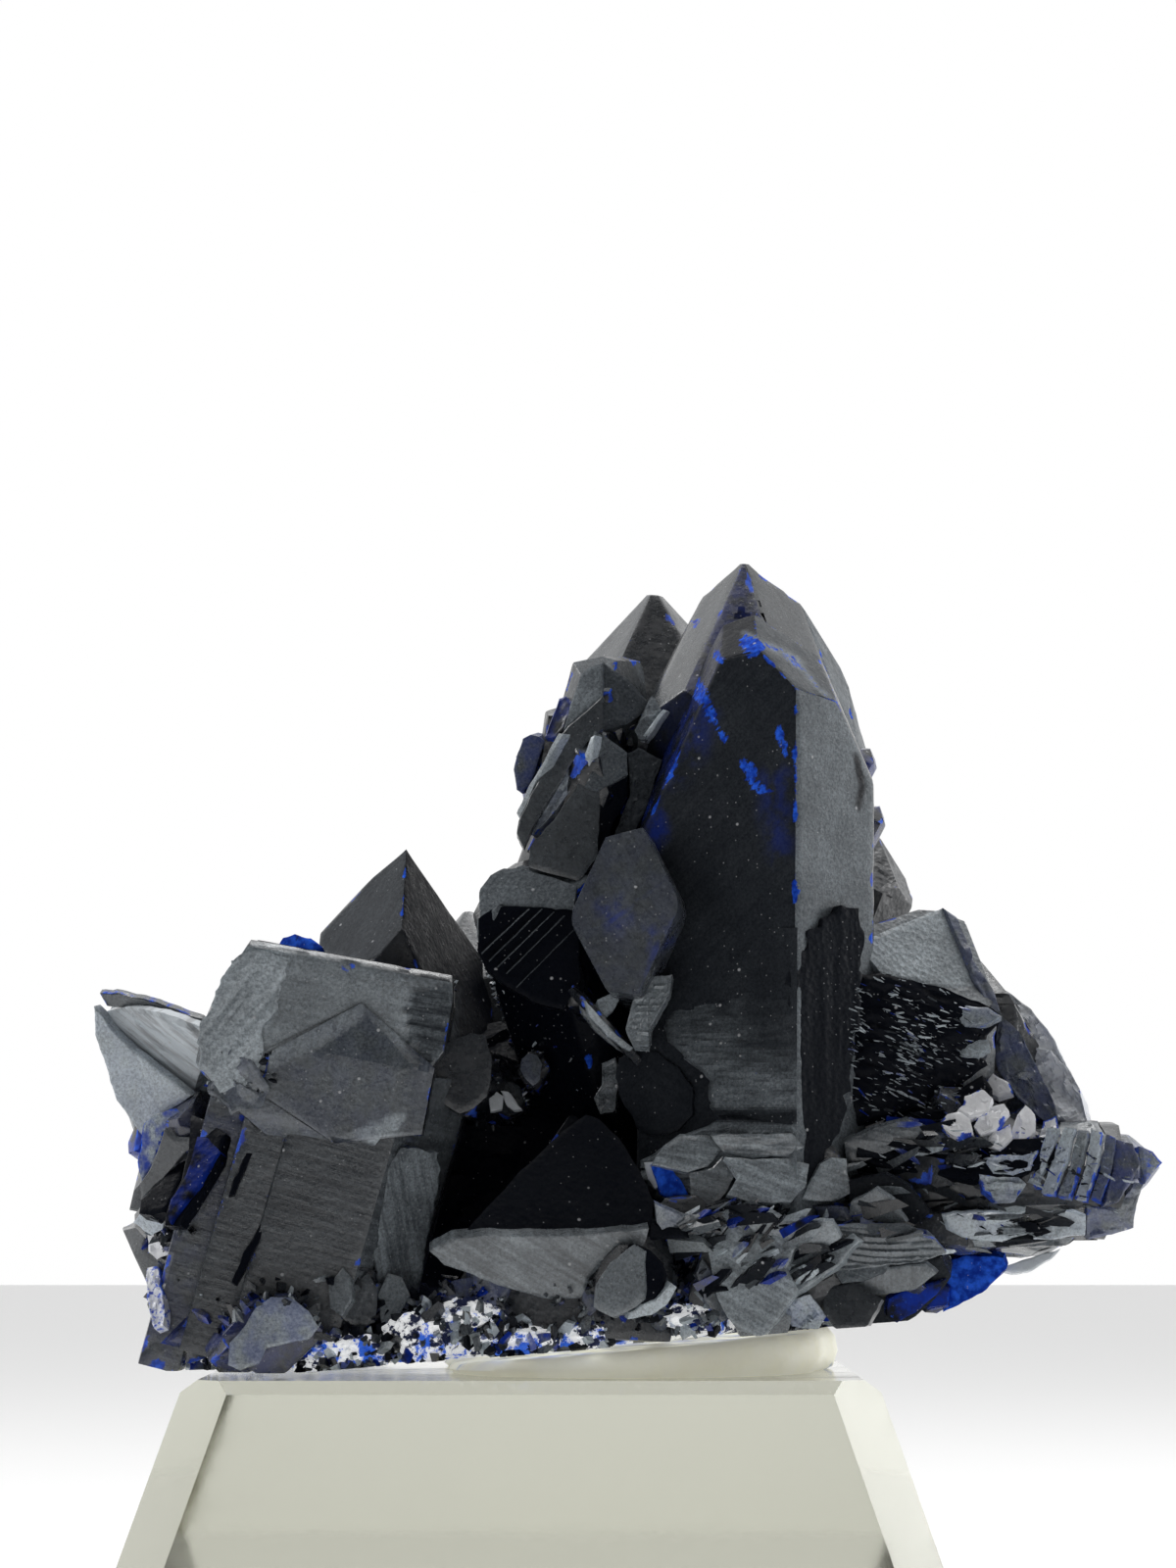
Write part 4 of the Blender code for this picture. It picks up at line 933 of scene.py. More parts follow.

# deep is the body's own colour; haze is the grey of painted light and sheen, glare the white of a painted
# glare
azuriteLook = {"deep": (0.003, 0.004, 0.008, 1), "haze": (0.55, 0.62, 0.67, 1),
               "blue": (0.006, 0.035, 0.36, 1), "powder": (0.03, 0.15, 0.90, 1),
               "glare": (0.96, 0.97, 1.0, 1), "dust": (0.55, 0.56, 0.58, 1), "ior": 1.73,
               "fineDust": (5.5, 0.16), "coarseDust": (2.4, 0.05), "roughness": (0.12, 0.32)}


def makeAzurite(name, shine):
    # a near-black body under a grey veil of painted light and shade, as strong as the haze mark and turning
    # to a painted glare above 1, with cobalt flecks and pale dust
    made, tree, shader = newMaterial(name, (0.03, 0.04, 0.09), 0.3)
    place = objectCoords(tree)
    haze, blue, grain = attribute(tree, "haze"), attribute(tree, "blue"), attribute(tree, "grain")
    stripe, tint = attribute(tree, "stripe"), attribute(tree, "tint")
    broad = ramp(tree, noiseAt(tree, place, 0.45, 5.0), 0.3, 0.72, 0.78, 1.18)
    mottle = ramp(tree, noiseAt(tree, place, 8.0, 4.0, 0.75), 0.32, 0.68, 0.6, 1.36)
    flat = addNode(tree, "ShaderNodeUVMap", {"uv_map": "flat"}).outputs[0]
    lines = useGroup(tree, lineGroup, Flat=flat, Per_Millimetre=3.4)["Height"]
    # painted light and shade: the grey laid over each face by its haze mark, varied at random and along the
    # growth lines
    paintedSheen = maths(tree, "MULTIPLY", maths(tree, "MULTIPLY", haze, broad), mottle, clamp=True)
    swing = maths(tree, "MULTIPLY_ADD", ramp(tree, lines, 0.35, 0.65, -0.65, 0.65), stripe, 1.0)
    paintedSheen = maths(tree, "MULTIPLY", paintedSheen, swing, clamp=True)
    colour = mixColour(tree, paintedSheen, azuriteLook["deep"], azuriteLook["haze"])
    # painted glare: where haze runs from 1 to 2 the colour goes to near white
    colour = mixColour(tree, ramp(tree, haze, 1.0, 2.0), colour, azuriteLook["glare"])
    clouds = ramp(tree, noiseAt(tree, place, 1.1, 4.0), 0.35, 0.62)
    colour = mixColour(tree, maths(tree, "MULTIPLY", tint, clouds, clamp=True), colour, azuriteLook["blue"])
    patchy = maths(tree, "MULTIPLY_ADD", noiseAt(tree, place, 3.8, 5.0, 0.7), 1.7,
                   maths(tree, "SUBTRACT", blue, 0.85))
    fleck = ramp(tree, patchy, 0.38, 0.62)
    powder = ramp(tree, noiseAt(tree, place, 2.6, 4.0), 0.35, 0.7)
    chipColour = mixColour(tree, powder, azuriteLook["blue"], azuriteLook["powder"])
    colour = mixColour(tree, fleck, colour, chipColour)
    fine, coarse = (useGroup(tree, dustGroup, Place=place, Per_Millimetre=often, Amount=amount)["Specks"]
                    for often, amount in (azuriteLook["fineDust"], azuriteLook["coarseDust"]))
    specks = maths(tree, "MAXIMUM", maths(tree, "MULTIPLY", fine, 0.5), maths(tree, "MULTIPLY", coarse, 0.8))
    colour = mixColour(tree, specks, colour, azuriteLook["dust"])
    low, high = azuriteLook["roughness"]
    dull = ramp(tree, noiseAt(tree, place, 1.6, 5.0, 0.6), 0.3, 0.7, low, high)
    rough = maths(tree, "MULTIPLY_ADD", grain, 0.3, dull)
    chalky = maths(tree, "MULTIPLY", maths(tree, "MAXIMUM", fleck, specks), 0.8)
    rough = maths(tree, "MAXIMUM", rough, chalky)
    pits = noiseAt(tree, place, 11.0, 4.0, 0.7)
    grit = addNode(tree, "ShaderNodeTexVoronoi", {}, Vector=place, Scale=3.8 / mm).outputs["Distance"]
    height = maths(tree, "MULTIPLY", grit, maths(tree, "MULTIPLY", grain, 1.4))
    height = maths(tree, "ADD", height, maths(tree, "MULTIPLY", pits, 0.30))
    height = maths(tree, "ADD", height, maths(tree, "MULTIPLY", lines, maths(tree, "MULTIPLY", stripe, 1.2)))
    height = maths(tree, "ADD", height, maths(tree, "MULTIPLY", specks, 0.4))
    bump = addNode(tree, "ShaderNodeBump", {}, Height=height, Distance=0.05 * mm, Strength=0.8).outputs[0]
    setInputs(tree, shader, Base_Color=colour, Roughness=rough, Normal=bump, IOR=azuriteLook["ior"],
              Specular_IOR_Level=shine)
    return made


crustLook = {"pale": (0.88, 0.89, 0.90, 1), "grey": (0.36, 0.40, 0.48, 1), "blue": (0.03, 0.12, 0.62, 1),
             "dark": (0.008, 0.012, 0.04, 1), "glow": 0.45}


def makeCrust():
    # pale grains clouded with grey, and blue and near-black patches over them; the colour also glows, a
    # painted glow for light coming up through the block below
    made, tree, shader = newMaterial("pale crust", (0.58, 0.56, 0.52), 0.9)
    place = objectCoords(tree)
    colour = crustLook["grey"]
    for word, often, detail, roughness, low, high in (
            ("pale", 1.3, 5.0, 0.65, 0.34, 0.48), ("blue", 0.8, 6.0, 0.7, 0.50, 0.57),
            ("dark", 1.2, 5.0, 0.65, 0.50, 0.56)):
        share = ramp(tree, noiseAt(tree, place, often, detail, roughness), low, high)
        colour = mixColour(tree, share, colour, crustLook[word])
    rough = ramp(tree, noiseAt(tree, place, 3.0), 0.3, 0.7, 0.6, 0.95)
    grit = addNode(tree, "ShaderNodeTexVoronoi", {}, Vector=place, Scale=3.2 / mm).outputs["Distance"]
    height = maths(tree, "ADD", grit, noiseAt(tree, place, 5.0))
    bump = addNode(tree, "ShaderNodeBump", {}, Height=height, Distance=0.12 * mm, Strength=0.9).outputs[0]
    setInputs(tree, shader, Base_Color=colour, Emission_Color=colour, Emission_Strength=crustLook["glow"],
              Roughness=rough, Normal=bump)
    return made


puttyLook = {"pale": (0.84, 0.83, 0.70, 1), "warm": (0.76, 0.74, 0.60, 1), "blue": (0.10, 0.20, 0.45, 1),
             "glow": 0.3}


def makePutty():
    # a warm pale putty with blue smears; its colour also glows, a painted glow, since the putty gives no
    # light of its own
    made, tree, shader = newMaterial("putty", (0.72, 0.70, 0.56), 0.6)
    place = objectCoords(tree)
    share = ramp(tree, noiseAt(tree, place, 0.25, 3.0), 0.35, 0.65)
    colour = mixColour(tree, share, puttyLook["warm"], puttyLook["pale"])
    smear = ramp(tree, noiseAt(tree, place, 0.3, 4.0), 0.62, 0.70, 0.0, 0.55)
    colour = mixColour(tree, smear, colour, puttyLook["blue"])
    rough = ramp(tree, noiseAt(tree, place, 1.2), 0.3, 0.7, 0.45, 0.7)
    dents = noiseAt(tree, place, 0.8, 4.0)
    bump = addNode(tree, "ShaderNodeBump", {}, Height=dents, Distance=0.3 * mm, Strength=0.5).outputs[0]
    setInputs(tree, shader, Base_Color=colour, Emission_Color=colour, Emission_Strength=puttyLook["glow"],
              Roughness=rough, Normal=bump)
    return made


clearLook = {"ior": 1.49, "absorbed": (0.56, 0.555, 0.46, 1), "density": 33.0}


def makeClearBlock():
    made, tree, shader = newMaterial("clear block", (0.94, 0.95, 0.91), 0.02)
    place = objectCoords(tree)
    rubbed = ramp(tree, noiseAt(tree, place, 0.22, 4.0), 0.45, 0.75, 0.10, 0.22)
    scuffs = noiseAt(tree, place, 0.5, 5.0)
    bump = addNode(tree, "ShaderNodeBump", {}, Height=scuffs, Distance=0.02 * mm, Strength=0.3).outputs[0]
    setInputs(tree, shader, Transmission_Weight=1.0, IOR=clearLook["ior"], Roughness=rubbed, Normal=bump)
    absorb = addNode(tree, "ShaderNodeVolumeAbsorption", {}, Color=clearLook["absorbed"],
                     Density=clearLook["density"])
    setInputs(tree, tree.nodes["Material Output"], Volume=absorb.outputs[0])
    return made


azurite, dullAzurite = makeAzurite("azurite", 0.5), makeAzurite("dull azurite", 0.03)
crust, putty, clearBlock = makeCrust(), makePutty(), makeClearBlock()
print("materials ready")

# the crystals, piece by piece: haze, the light and shade painted on each face, runs from 0, black, to 1,
# silvery, and to 2 for a painted glare


pictureCorner = (150, 700)


def area(*outline, **look):
    # a patch or a facet: its outline in points of the camera's picture, counted right and down
    # from the corner, and its finish
    return {"outline": np.array(outline, float).reshape(-1, 2) + pictureCorner, **look}


# glare: facets painted near white with haze 2, a painted glare
glare = dict(kind="broken", haze=2, slope=(-0.2, 0.5), rim=0.9)
scratch = dict(thick=0.2, ragged=0.02, slope=(0, 0.1), y=-8.07, dull=1)

spiresLook = {
    "cell": 0.3, "seed": 100, "finishAndLight": dict(haze=0.0496, grain=0.15, stripe=0.2),
    "each": {"shoulderSpire": dict(kind="sugary", haze=0.0558, grain=0.7), "upperBump": dict(tint=0.5),
        "lowerBump": dict(tint=0.4)},
    "faces": {
        "mainSpire": {"side 128": dict(haze=0.03, tint=0.08, dull=1), "tip 38": dict(haze=0.1054),
            "tip 14": dict(haze=0.24, dull=1, grain=0.5), "tip 8": dict(haze=0.24, dull=1, grain=0.5),
            "tip 98": dict(haze=0.0372, tint=0.25), "tip 152": dict(haze=0.0992)},
        "rearSpire": {"tip 20": dict(haze=0.0744), "tip 88": dict(haze=0.0434),
            "tip 152": dict(haze=0.1116)},
    },
    "patches": {
        "tipNotch": area(598, -78, 608, -82, 622, -60, 636, -50, 620, -50, 606, -64, haze=0.006, dull=1),
        "tipBlue": area(616, -78, 626, -76, 630, -68, 620, -66, blue=0.65),
        "ridgeBlue": area(552, -64, 558, -71, 565, -68, 558, -60, blue=0.65),
    },
}
growCrystals("spires", spires, spiresLook)

frontSpireLook = {
    "cell": 0.22, "seed": 300, "finishAndLight": dict(haze=0.062, grain=0.2, stripe=0.2),
    "faces": {
        "frontSpire": {
            "side 122": dict(haze=0.04, dull=1, kind="furrowed", turn=50, depth=0.5),
            "side 38": dict(haze=0.27, dull=1, stripe=0.1, turn=90, depth=0.3),
            "tip 130": dict(haze=0.015, dull=1), "tip 36": dict(haze=0.12, dull=1),
            "tip 168": dict(haze=0.012, dull=1, tint=0.08)},
    },
    "patches": {
        "crestPale": area(608, -57, 640, -45, 665, -32, 680, -10, 700, 16, 690, 8, 670, -14, 650, -32, 626,
            -42, 610, -50, haze=0.35, blue=0.45, soft=2.5),
        "crestBlue": area(603, -50, 612, -56, 626, -48, 632, -40, 627, -33, 615, -29, 606, -38, blue=0.72,
            soft=2.5),
        "topBlue": area(577, -36, 583, -39, 589, -29, 587, -22, 580, -26, blue=0.62, soft=2),
        "streakBlue": area(550, -4, 556, -14, 562, -17, 566, -8, 572, 2, 575, 14, 581, 24, 583, 37, 593,
            52, 590, 59, 581, 48, 573, 34, 565, 20, 556, 9, blue=0.64, soft=2),
        "hookBlue": area(602, 73, 612, 74, 623, 82, 624, 90, 618, 91, 627, 99, 639, 106, 636, 112, 623,
            110, 613, 100, 608, 88, blue=0.7, soft=2),
        "edgeBlue": area(641, 38, 648, 37, 653, 56, 655, 72, 650, 79, 646, 66, 641, 52, blue=0.68, soft=2),
        "sideBlue": area(536, 16, 566, 12, 580, 30, 566, 70, 540, 100, 522, 90, 526, 50, tint=0.3, soft=14),
        "lowBlue": area(506, 122, 522, 118, 532, 150, 520, 168, 508, 150, tint=0.6, soft=9),
        "cornerBlue": area(626, 90, 652, 85, 654, 170, 640, 176, 630, 130, tint=0.3, soft=14),
        "gashes": area(722, 70, 727, 77, 733, 100, 728, 128, 722, 124, 725, 100, haze=0.004, dull=1,
            soft=1.5),
    },
}
growCrystals("frontSpire", {"frontSpire": frontSpireSpec}, frontSpireLook)


def makeLayeredFoot():
    # rows up the spire, each running from the front edge to the ragged left edge and back behind;
    # the front is stepped in thin broken layers that fade out upward
    table, cell = np.array(footLayers), footShape["cell"]
    foot, tip = (np.array(end) for end in frontSpireSpec[:2])
    heights = np.arange(table[0, 0], table[-1, 0], cell)
    along = ((heights - foot[2]) / (tip[2] - foot[2]))[:, None]
    corner = (foot + (tip - foot) * along)[:, :2] + footShape["corner"]
    left = np.interp(heights, table[:, 0], table[:, 1])
    left = left + 0.3 * layeredNoise(np.stack([heights / 0.5, heights * 0, heights * 0], axis=1), 3, 8)
    low, high = footShape["slopes"]
    slope = low + (high - low) * smoothStep(heights, *footShape["blend"])
    front = int((corner[:, 0] - left).max() / cell)
    share = np.concatenate([np.arange(front + 1) / front, np.ones(8), [0.5, 0.0]])
    back = np.concatenate([np.zeros(front + 1), np.linspace(0.08, 1, 8), [1.0, 1.0]])
    x = corner[:, :1] + (left[:, None] - corner[:, :1]) * share
    y = corner[:, 1:] + (corner[:, :1] - x) * slope[:, None]
    place = np.stack([x, y, np.repeat(heights[:, None], len(share), axis=1)], axis=-1)
    flat = np.stack([x, place[..., 2]], axis=-1).reshape(-1, 2)
    steps = relief("layered", flat, place.reshape(-1, 3), 4).reshape(x.shape)
    chips = relief("broken", flat, place.reshape(-1, 3), 9).reshape(x.shape)
    amount = 1 - smoothStep(heights, *footShape["stepsEnd"])[:, None]
    groove = np.exp(-((place[..., 2] - footShape["groove"] - 0.1 * np.sin(x)) / 0.22) ** 2)
    lower = 1 - smoothStep(heights, *footShape["chipsEnd"])[:, None]
    inset = (0.9 - steps - 0.6 * chips * lower) * amount * 0.8 + 0.45 * groove - 0.75 * (amount - 0.1)
    inset = inset * smoothStep(share, 0.0, 0.06) + 1.2 * smoothStep(share, 0.86, 1.0) ** 3
    place[..., 1] += np.where(back > 0, inset[:, front:front + 1] + back * footShape["depth"], inset)
    ends = []
    for edge in (place[:1], place[-1:]):
        middle = edge.mean(axis=1, keepdims=True)
        ends.append(middle + (edge - middle) * np.array(footShape["ends"])[:, None, None])
    place = np.concatenate([ends[0][::-1], place, ends[1]])
    rows, around = place.shape[:2]
    squares = ringSquares(rows, around, True)
    points = place.reshape(-1, 3)
    liftToSeat(points)
    level = points[squares].mean(axis=1)
    # painted light on each layer from the table's third column, varied at random
    haze = 2.6 * np.interp(level[:, 2], table[:, 0], table[:, 2])
    haze = haze * (1 + 0.7 * layeredNoise(level / np.array((1.2, 1.2, 0.35)), 3, 12))
    # painted shade over the upper right part of the foot
    paintedShade = (smoothStep(level[:, 0], *footShape["darkFrom"])
              * smoothStep(level[:, 2], *footShape["darkAbove"]))
    marks = np.tile(faceMarks(dict(grain=0.35, stripe=0.1, dull=1)), (len(level), 1))
    marks[:, 0] = np.maximum(haze * (1 - 0.7 * paintedShade), 0.04)
    blue = smoothStep(layeredNoise(points / 1.1, 2, 3), 0.55, 0.8) * 0.5
    grown.append((points, squares))
    spread = points[squares][..., ::2]
    addCrystals("layeredFoot", makeMesh("layeredFoot", points, squares, marks, blue, spread))


makeLayeredFoot()

leaningLook = {
    "cell": 0.2, "seed": 500, "finishAndLight": dict(haze=0.02, grain=0.3, stripe=0.3, whole=0.1),
    "each": {"leanPlate": dict(haze=0.0558), "leanInner": dict(haze=0.124, kind="broken"),
        "leanChipLow": dict(tint=0.6)},
    "faces": {
        "leanTall": {"front": dict(haze=0.0248), "side 138": dict(haze=0.12),
            "tip 100": dict(haze=0.2, dull=1), "tip 22": dict(haze=0.14, dull=1)},
        "leanFront": {"front": dict(haze=0.0248, stripe=0.6), "side 44": dict(haze=0.0019, dull=1),
            "side 138": dict(haze=0.0372), "tip 100": dict(haze=0.2, dull=1)},
    },
}
growCrystals("leaningBlades", leaningGroup, leaningLook)

heartLook = {
    "cell": 0.22, "seed": 700, "finishAndLight": dict(haze=0.0124, grain=0.2, stripe=0.2),
    "each": {"stripedBlock": dict(stripe=0.5, turn=45),
        "lozenge": dict(haze=0.12, tint=0.04, depth=0.3, chips=0, worn=0.3),
        "thinBlade": dict(haze=0.031), "cavityGlint": dict(haze=0.062)},
    "faces": {
        "stripedBlock": {"front": dict(haze=0.0025, dull=1, stripe=0.4),
            "side 60": dict(haze=0.0062, dull=1), "side 124": dict(haze=0.0006, dull=1, stripe=0.25),
            "tip 92": dict(haze=0.2, dull=1), "tip 178": dict(haze=0.0496),
            "tip 12": dict(haze=0.0062, dull=1)},
        "darkWedge": {"front": dict(haze=0.062, stripe=0.4),
            "side 118": dict(haze=0.0558, stripe=0.4, turn=30), "side 64": dict(haze=0.062),
            "tip 90": dict(haze=0.0037, dull=1, grain=0.5)},
        "lowGem": {"end": dict(haze=0.0372), "tip 180": dict(haze=0.0434),
            "tip 0": dict(haze=0.0019, dull=1)},
    },
    "patches": {
        "lozengeBlue": area(462, 226, 482, 220, 492, 236, 480, 246, 466, 242, tint=0.55, soft=13),
        "lozengeSide": area(508, 252, 530, 246, 536, 260, 518, 268, tint=0.55, soft=10),
    },
}
growCrystals("heartCrystals", middleGroup, heartLook)

leftLook = {
    "cell": 0.27, "seed": 900, "finishAndLight": dict(haze=0.0372, grain=0.2, stripe=0.2),
    "each": {"wing": dict(haze=0.5), "leftBlue": dict(haze=0.062, tint=1),
        "lavenderStub": dict(haze=0.0558, tint=0.25), "cornerStub": dict(haze=0.062, tint=0.3),
        "cornerPrism": dict(haze=0.0744, tint=0.4), "leftPrism": dict(haze=0.031, tint=0.1)},
    "faces": {
        "leftPyramid": {"front": dict(haze=0.06), "side 28": dict(haze=0.012, dull=1, grain=0.7),
            "tip 140": dict(haze=0.075, dull=1), "tip 22": dict(haze=0.01, dull=1, grain=0.4)},
        "greatBlock": {"front": dict(haze=0.26, depth=0.6), "side 50": dict(haze=0.062),
            "side 124": dict(haze=0.062)},
        "growthPlate": {"front": dict(haze=0.14, tint=0.03, depth=0.5)},
        "wing": {"side 42": dict(haze=0.42, kind="furrowed", turn=60), "tip 180": dict(haze=0.4)},
    },
    "patches": {
        "blockLight": area(124, 266, 150, 266, 270, 298, 278, 330, 262, 368, 226, 334, 195, 358, 168, 375,
            140, 385, 112, 400, 100, 380, 112, 300, haze=0.38, soft=8),
        # painted shade: a darker chevron on the great block's front
        "chevronShade": area(226, 336, 262, 372, 274, 395, 240, 385, 195, 378, 168, 375, 195, 360, haze=0.15,
            dull=1, soft=5),
        "blockLow": area(112, 400, 168, 378, 240, 387, 274, 397, 270, 430, 242, 465, 180, 468, 112, 462,
            90, 440, haze=0.18, tint=0.05, soft=6),
        "grooves": area(78, 360, 82, 300, 96, 274, 112, 266, 150, 266, 112, 340, 100, 385, 86, 385,
            haze=0.6, stripe=1, soft=6),
        "darkCorner": area(271, 306, 320, 314, 318, 360, 297, 381, 282, 402, 268, 370, 266, 333, haze=0.12,
            stripe=1, grain=0.7, dull=1, soft=5, ragged=16),
        "lightFacet": area(208, 454, 265, 433, 258, 454, 242, 475, 224, 462, haze=0.6, soft=3),
        "darkStreak": area(158, 470, 192, 460, 234, 470, 242, 483, 190, 477, haze=0.02, dull=1, soft=3),
    },
}
growCrystals("leftCrystals", leftGroup, leftLook)

columnLook = {
    "cell": 0.28, "seed": 1100, "finishAndLight": dict(kind="ribbed", haze=0.1, grain=0.2, stripe=0.5, turn=90),
    "each": {"columnLeft": dict(haze=0.13, tint=0.1)},
    "faces": {
        "columnRight": {"side 44": dict(haze=0.16, kind="smooth")},
    },
}
growCrystals("columns", columnGroup, columnLook)

rightLook = {
    "cell": 0.33, "seed": 1300, "finishAndLight": dict(haze=0.06, grain=0.3, stripe=0.3),
    "each": {"rightRidge": dict(haze=0.25, kind="broken"),
        "wingPoint": dict(haze=0.3, tint=0.3, kind="furrowed"),
        "blueShard": dict(haze=0.02, tint=1, dull=1), "blueShardLow": dict(haze=0.03, tint=1, dull=1),
        "palePlate": dict(haze=0.3, kind="stepped")},
    "faces": {
        "rightBlock": {"front": dict(haze=0.0062, dull=1), "side 52": dict(haze=0.2, kind="broken"),
            "tip 78": dict(haze=0.3, grain=0.9)},
        "rightBackBlock": {"front": dict(haze=0.0372, kind="broken"),
            "side 50": dict(haze=0.0744, kind="sugary")},
        "rightWing": {"side 42": dict(haze=0.3, kind="broken"), "side 132": dict(haze=0.3, kind="glitter")},
    },
}
growCrystals("rightCrystals", {**rightGroup, **wingSteps()}, rightLook)


rearLook = {
    "cell": 0.45, "seed": 1700, "finishAndLight": dict(haze=0.12, grain=0.2, stripe=0.2),
}
growCrystals("rearCrystals", rearGroup, rearLook)

rimLook = {
    "cell": 0.32, "seed": 1900, "finishAndLight": dict(haze=0.2, grain=0.3, stripe=0.2, tint=0.25),
}
growCrystals("rimCrystals", rimCrystals(), rimLook)

# thin plates and facets, laid on the crystals, each with its own painted light and shade

leaningFacets = {
    # painted light on the tall crystal's left side, painted shade on its right side
    "tallLitSide": area(442, -13, 450, -20, 465, -26, 465, 10, 425, 45, 432, 18, thick=0.9, haze=0.3, y=-3.6,
        slope=(-0.3, 0.5), grain=0.6, dull=1),
    "tallShade": area(465, -26, 490, -9, 512, 16, 505, 28, 490, 38, 465, 45, thick=0.9, haze=0.16, y=-3.4,
        slope=(0.3, 0.4), grain=0.5, dull=1),
    "tallFace": area(465, 10, 465, 42, 455, 48, 430, 85, 400, 132, 384, 165, 378, 150, 380, 136, 420, 52,
        430, 40, thick=0.9, haze=0.12, y=-6.2, slope=(0, 0.15), grain=0.3),
    "tallRim": area(425, 48, 398, 95, 380, 135, 377, 130, 390, 102, 420, 48, haze=0.6, y=-6.3,
        slope=(-0.9, 0)),
    "shardDark": area(420, 12, 427, 10, 434, 16, 430, 28, 425, 42, 415, 53, 406, 52, thick=0.9,
        kind="stepped", haze=0.06, tint=0.7, y=-3.7, slope=(-0.3, 0.3), grain=0.6, rim=0.6),
    "lobe": area(384, 53, 391, 49, 399, 51, 406, 57, 392, 95, 383, 110, 377, 106, 373, 86, thick=1.2,
        haze=0.2, tint=0.35, y=-2.9, slope=(-0.3, -0.2), dull=1),
    "frontRim": area(453, 52, 457, 50, 455, 70, 449, 86, 442, 90, 442, 82, haze=0.9, y=-6.5,
        slope=(-0.8, 0.1)),
    "frontSparkle": area(430, 85, 442, 90, 437, 102, 393, 153, 390, 150, kind="sugary", haze=0.6,
        tint=0.15, y=-6, slope=(-0.5, 0.2), grain=0.6, rim=0.5),
    "frontTop": area(457, 44, 465, 50, 470, 65, 458, 76, 452, 70, 454, 54, kind="sugary", haze=0.2, y=-6.2,
        slope=(0, 0.3), grain=0.5, dull=1),
    "frontRight": area(465, 48, 491, 68, 491, 90, 462, 106, 450, 100, 458, 76, 470, 65, thick=0.8,
        haze=0.2, y=-6.2, slope=(0.35, 0.3), dull=1),
    "frontFace": area(457, 76, 442, 90, 437, 105, 416, 135, 390, 165, 390, 185, 440, 200, 460, 174, 462,
        106, thick=0.9, haze=0.14, y=-6.5, slope=(0, 0.1)),
    "frontDark": area(462, 106, 491, 90, 491, 112, 476, 142, 463, 176, 460, 172, haze=0.003, y=-5.9,
        slope=(0.6, 0), dull=1),
    "sparkleBetween": area(514, 9, 527, 22, 522, 34, 507, 55, 501, 54, 497, 45, thick=0.3, kind="glitter",
        haze=0.25, y=-4, slope=(-0.3, 0.4), grain=0.4, rim=0.2, dull=1),
    "rod": area(526, 23, 529, 25, 518, 42, 507, 58, 503, 56, 508, 48, haze=0.9, y=-4.3, slope=(-0.5, 0)),
    "gapGrit": area(491, 68, 502, 62, 526, 75, 506, 132, 494, 156, 478, 166, 466, 178, 493, 112, thick=0.8,
        kind="sugary", haze=0.1, y=-5.4, slope=(0, 0.3), grain=0.5, dull=1),
}

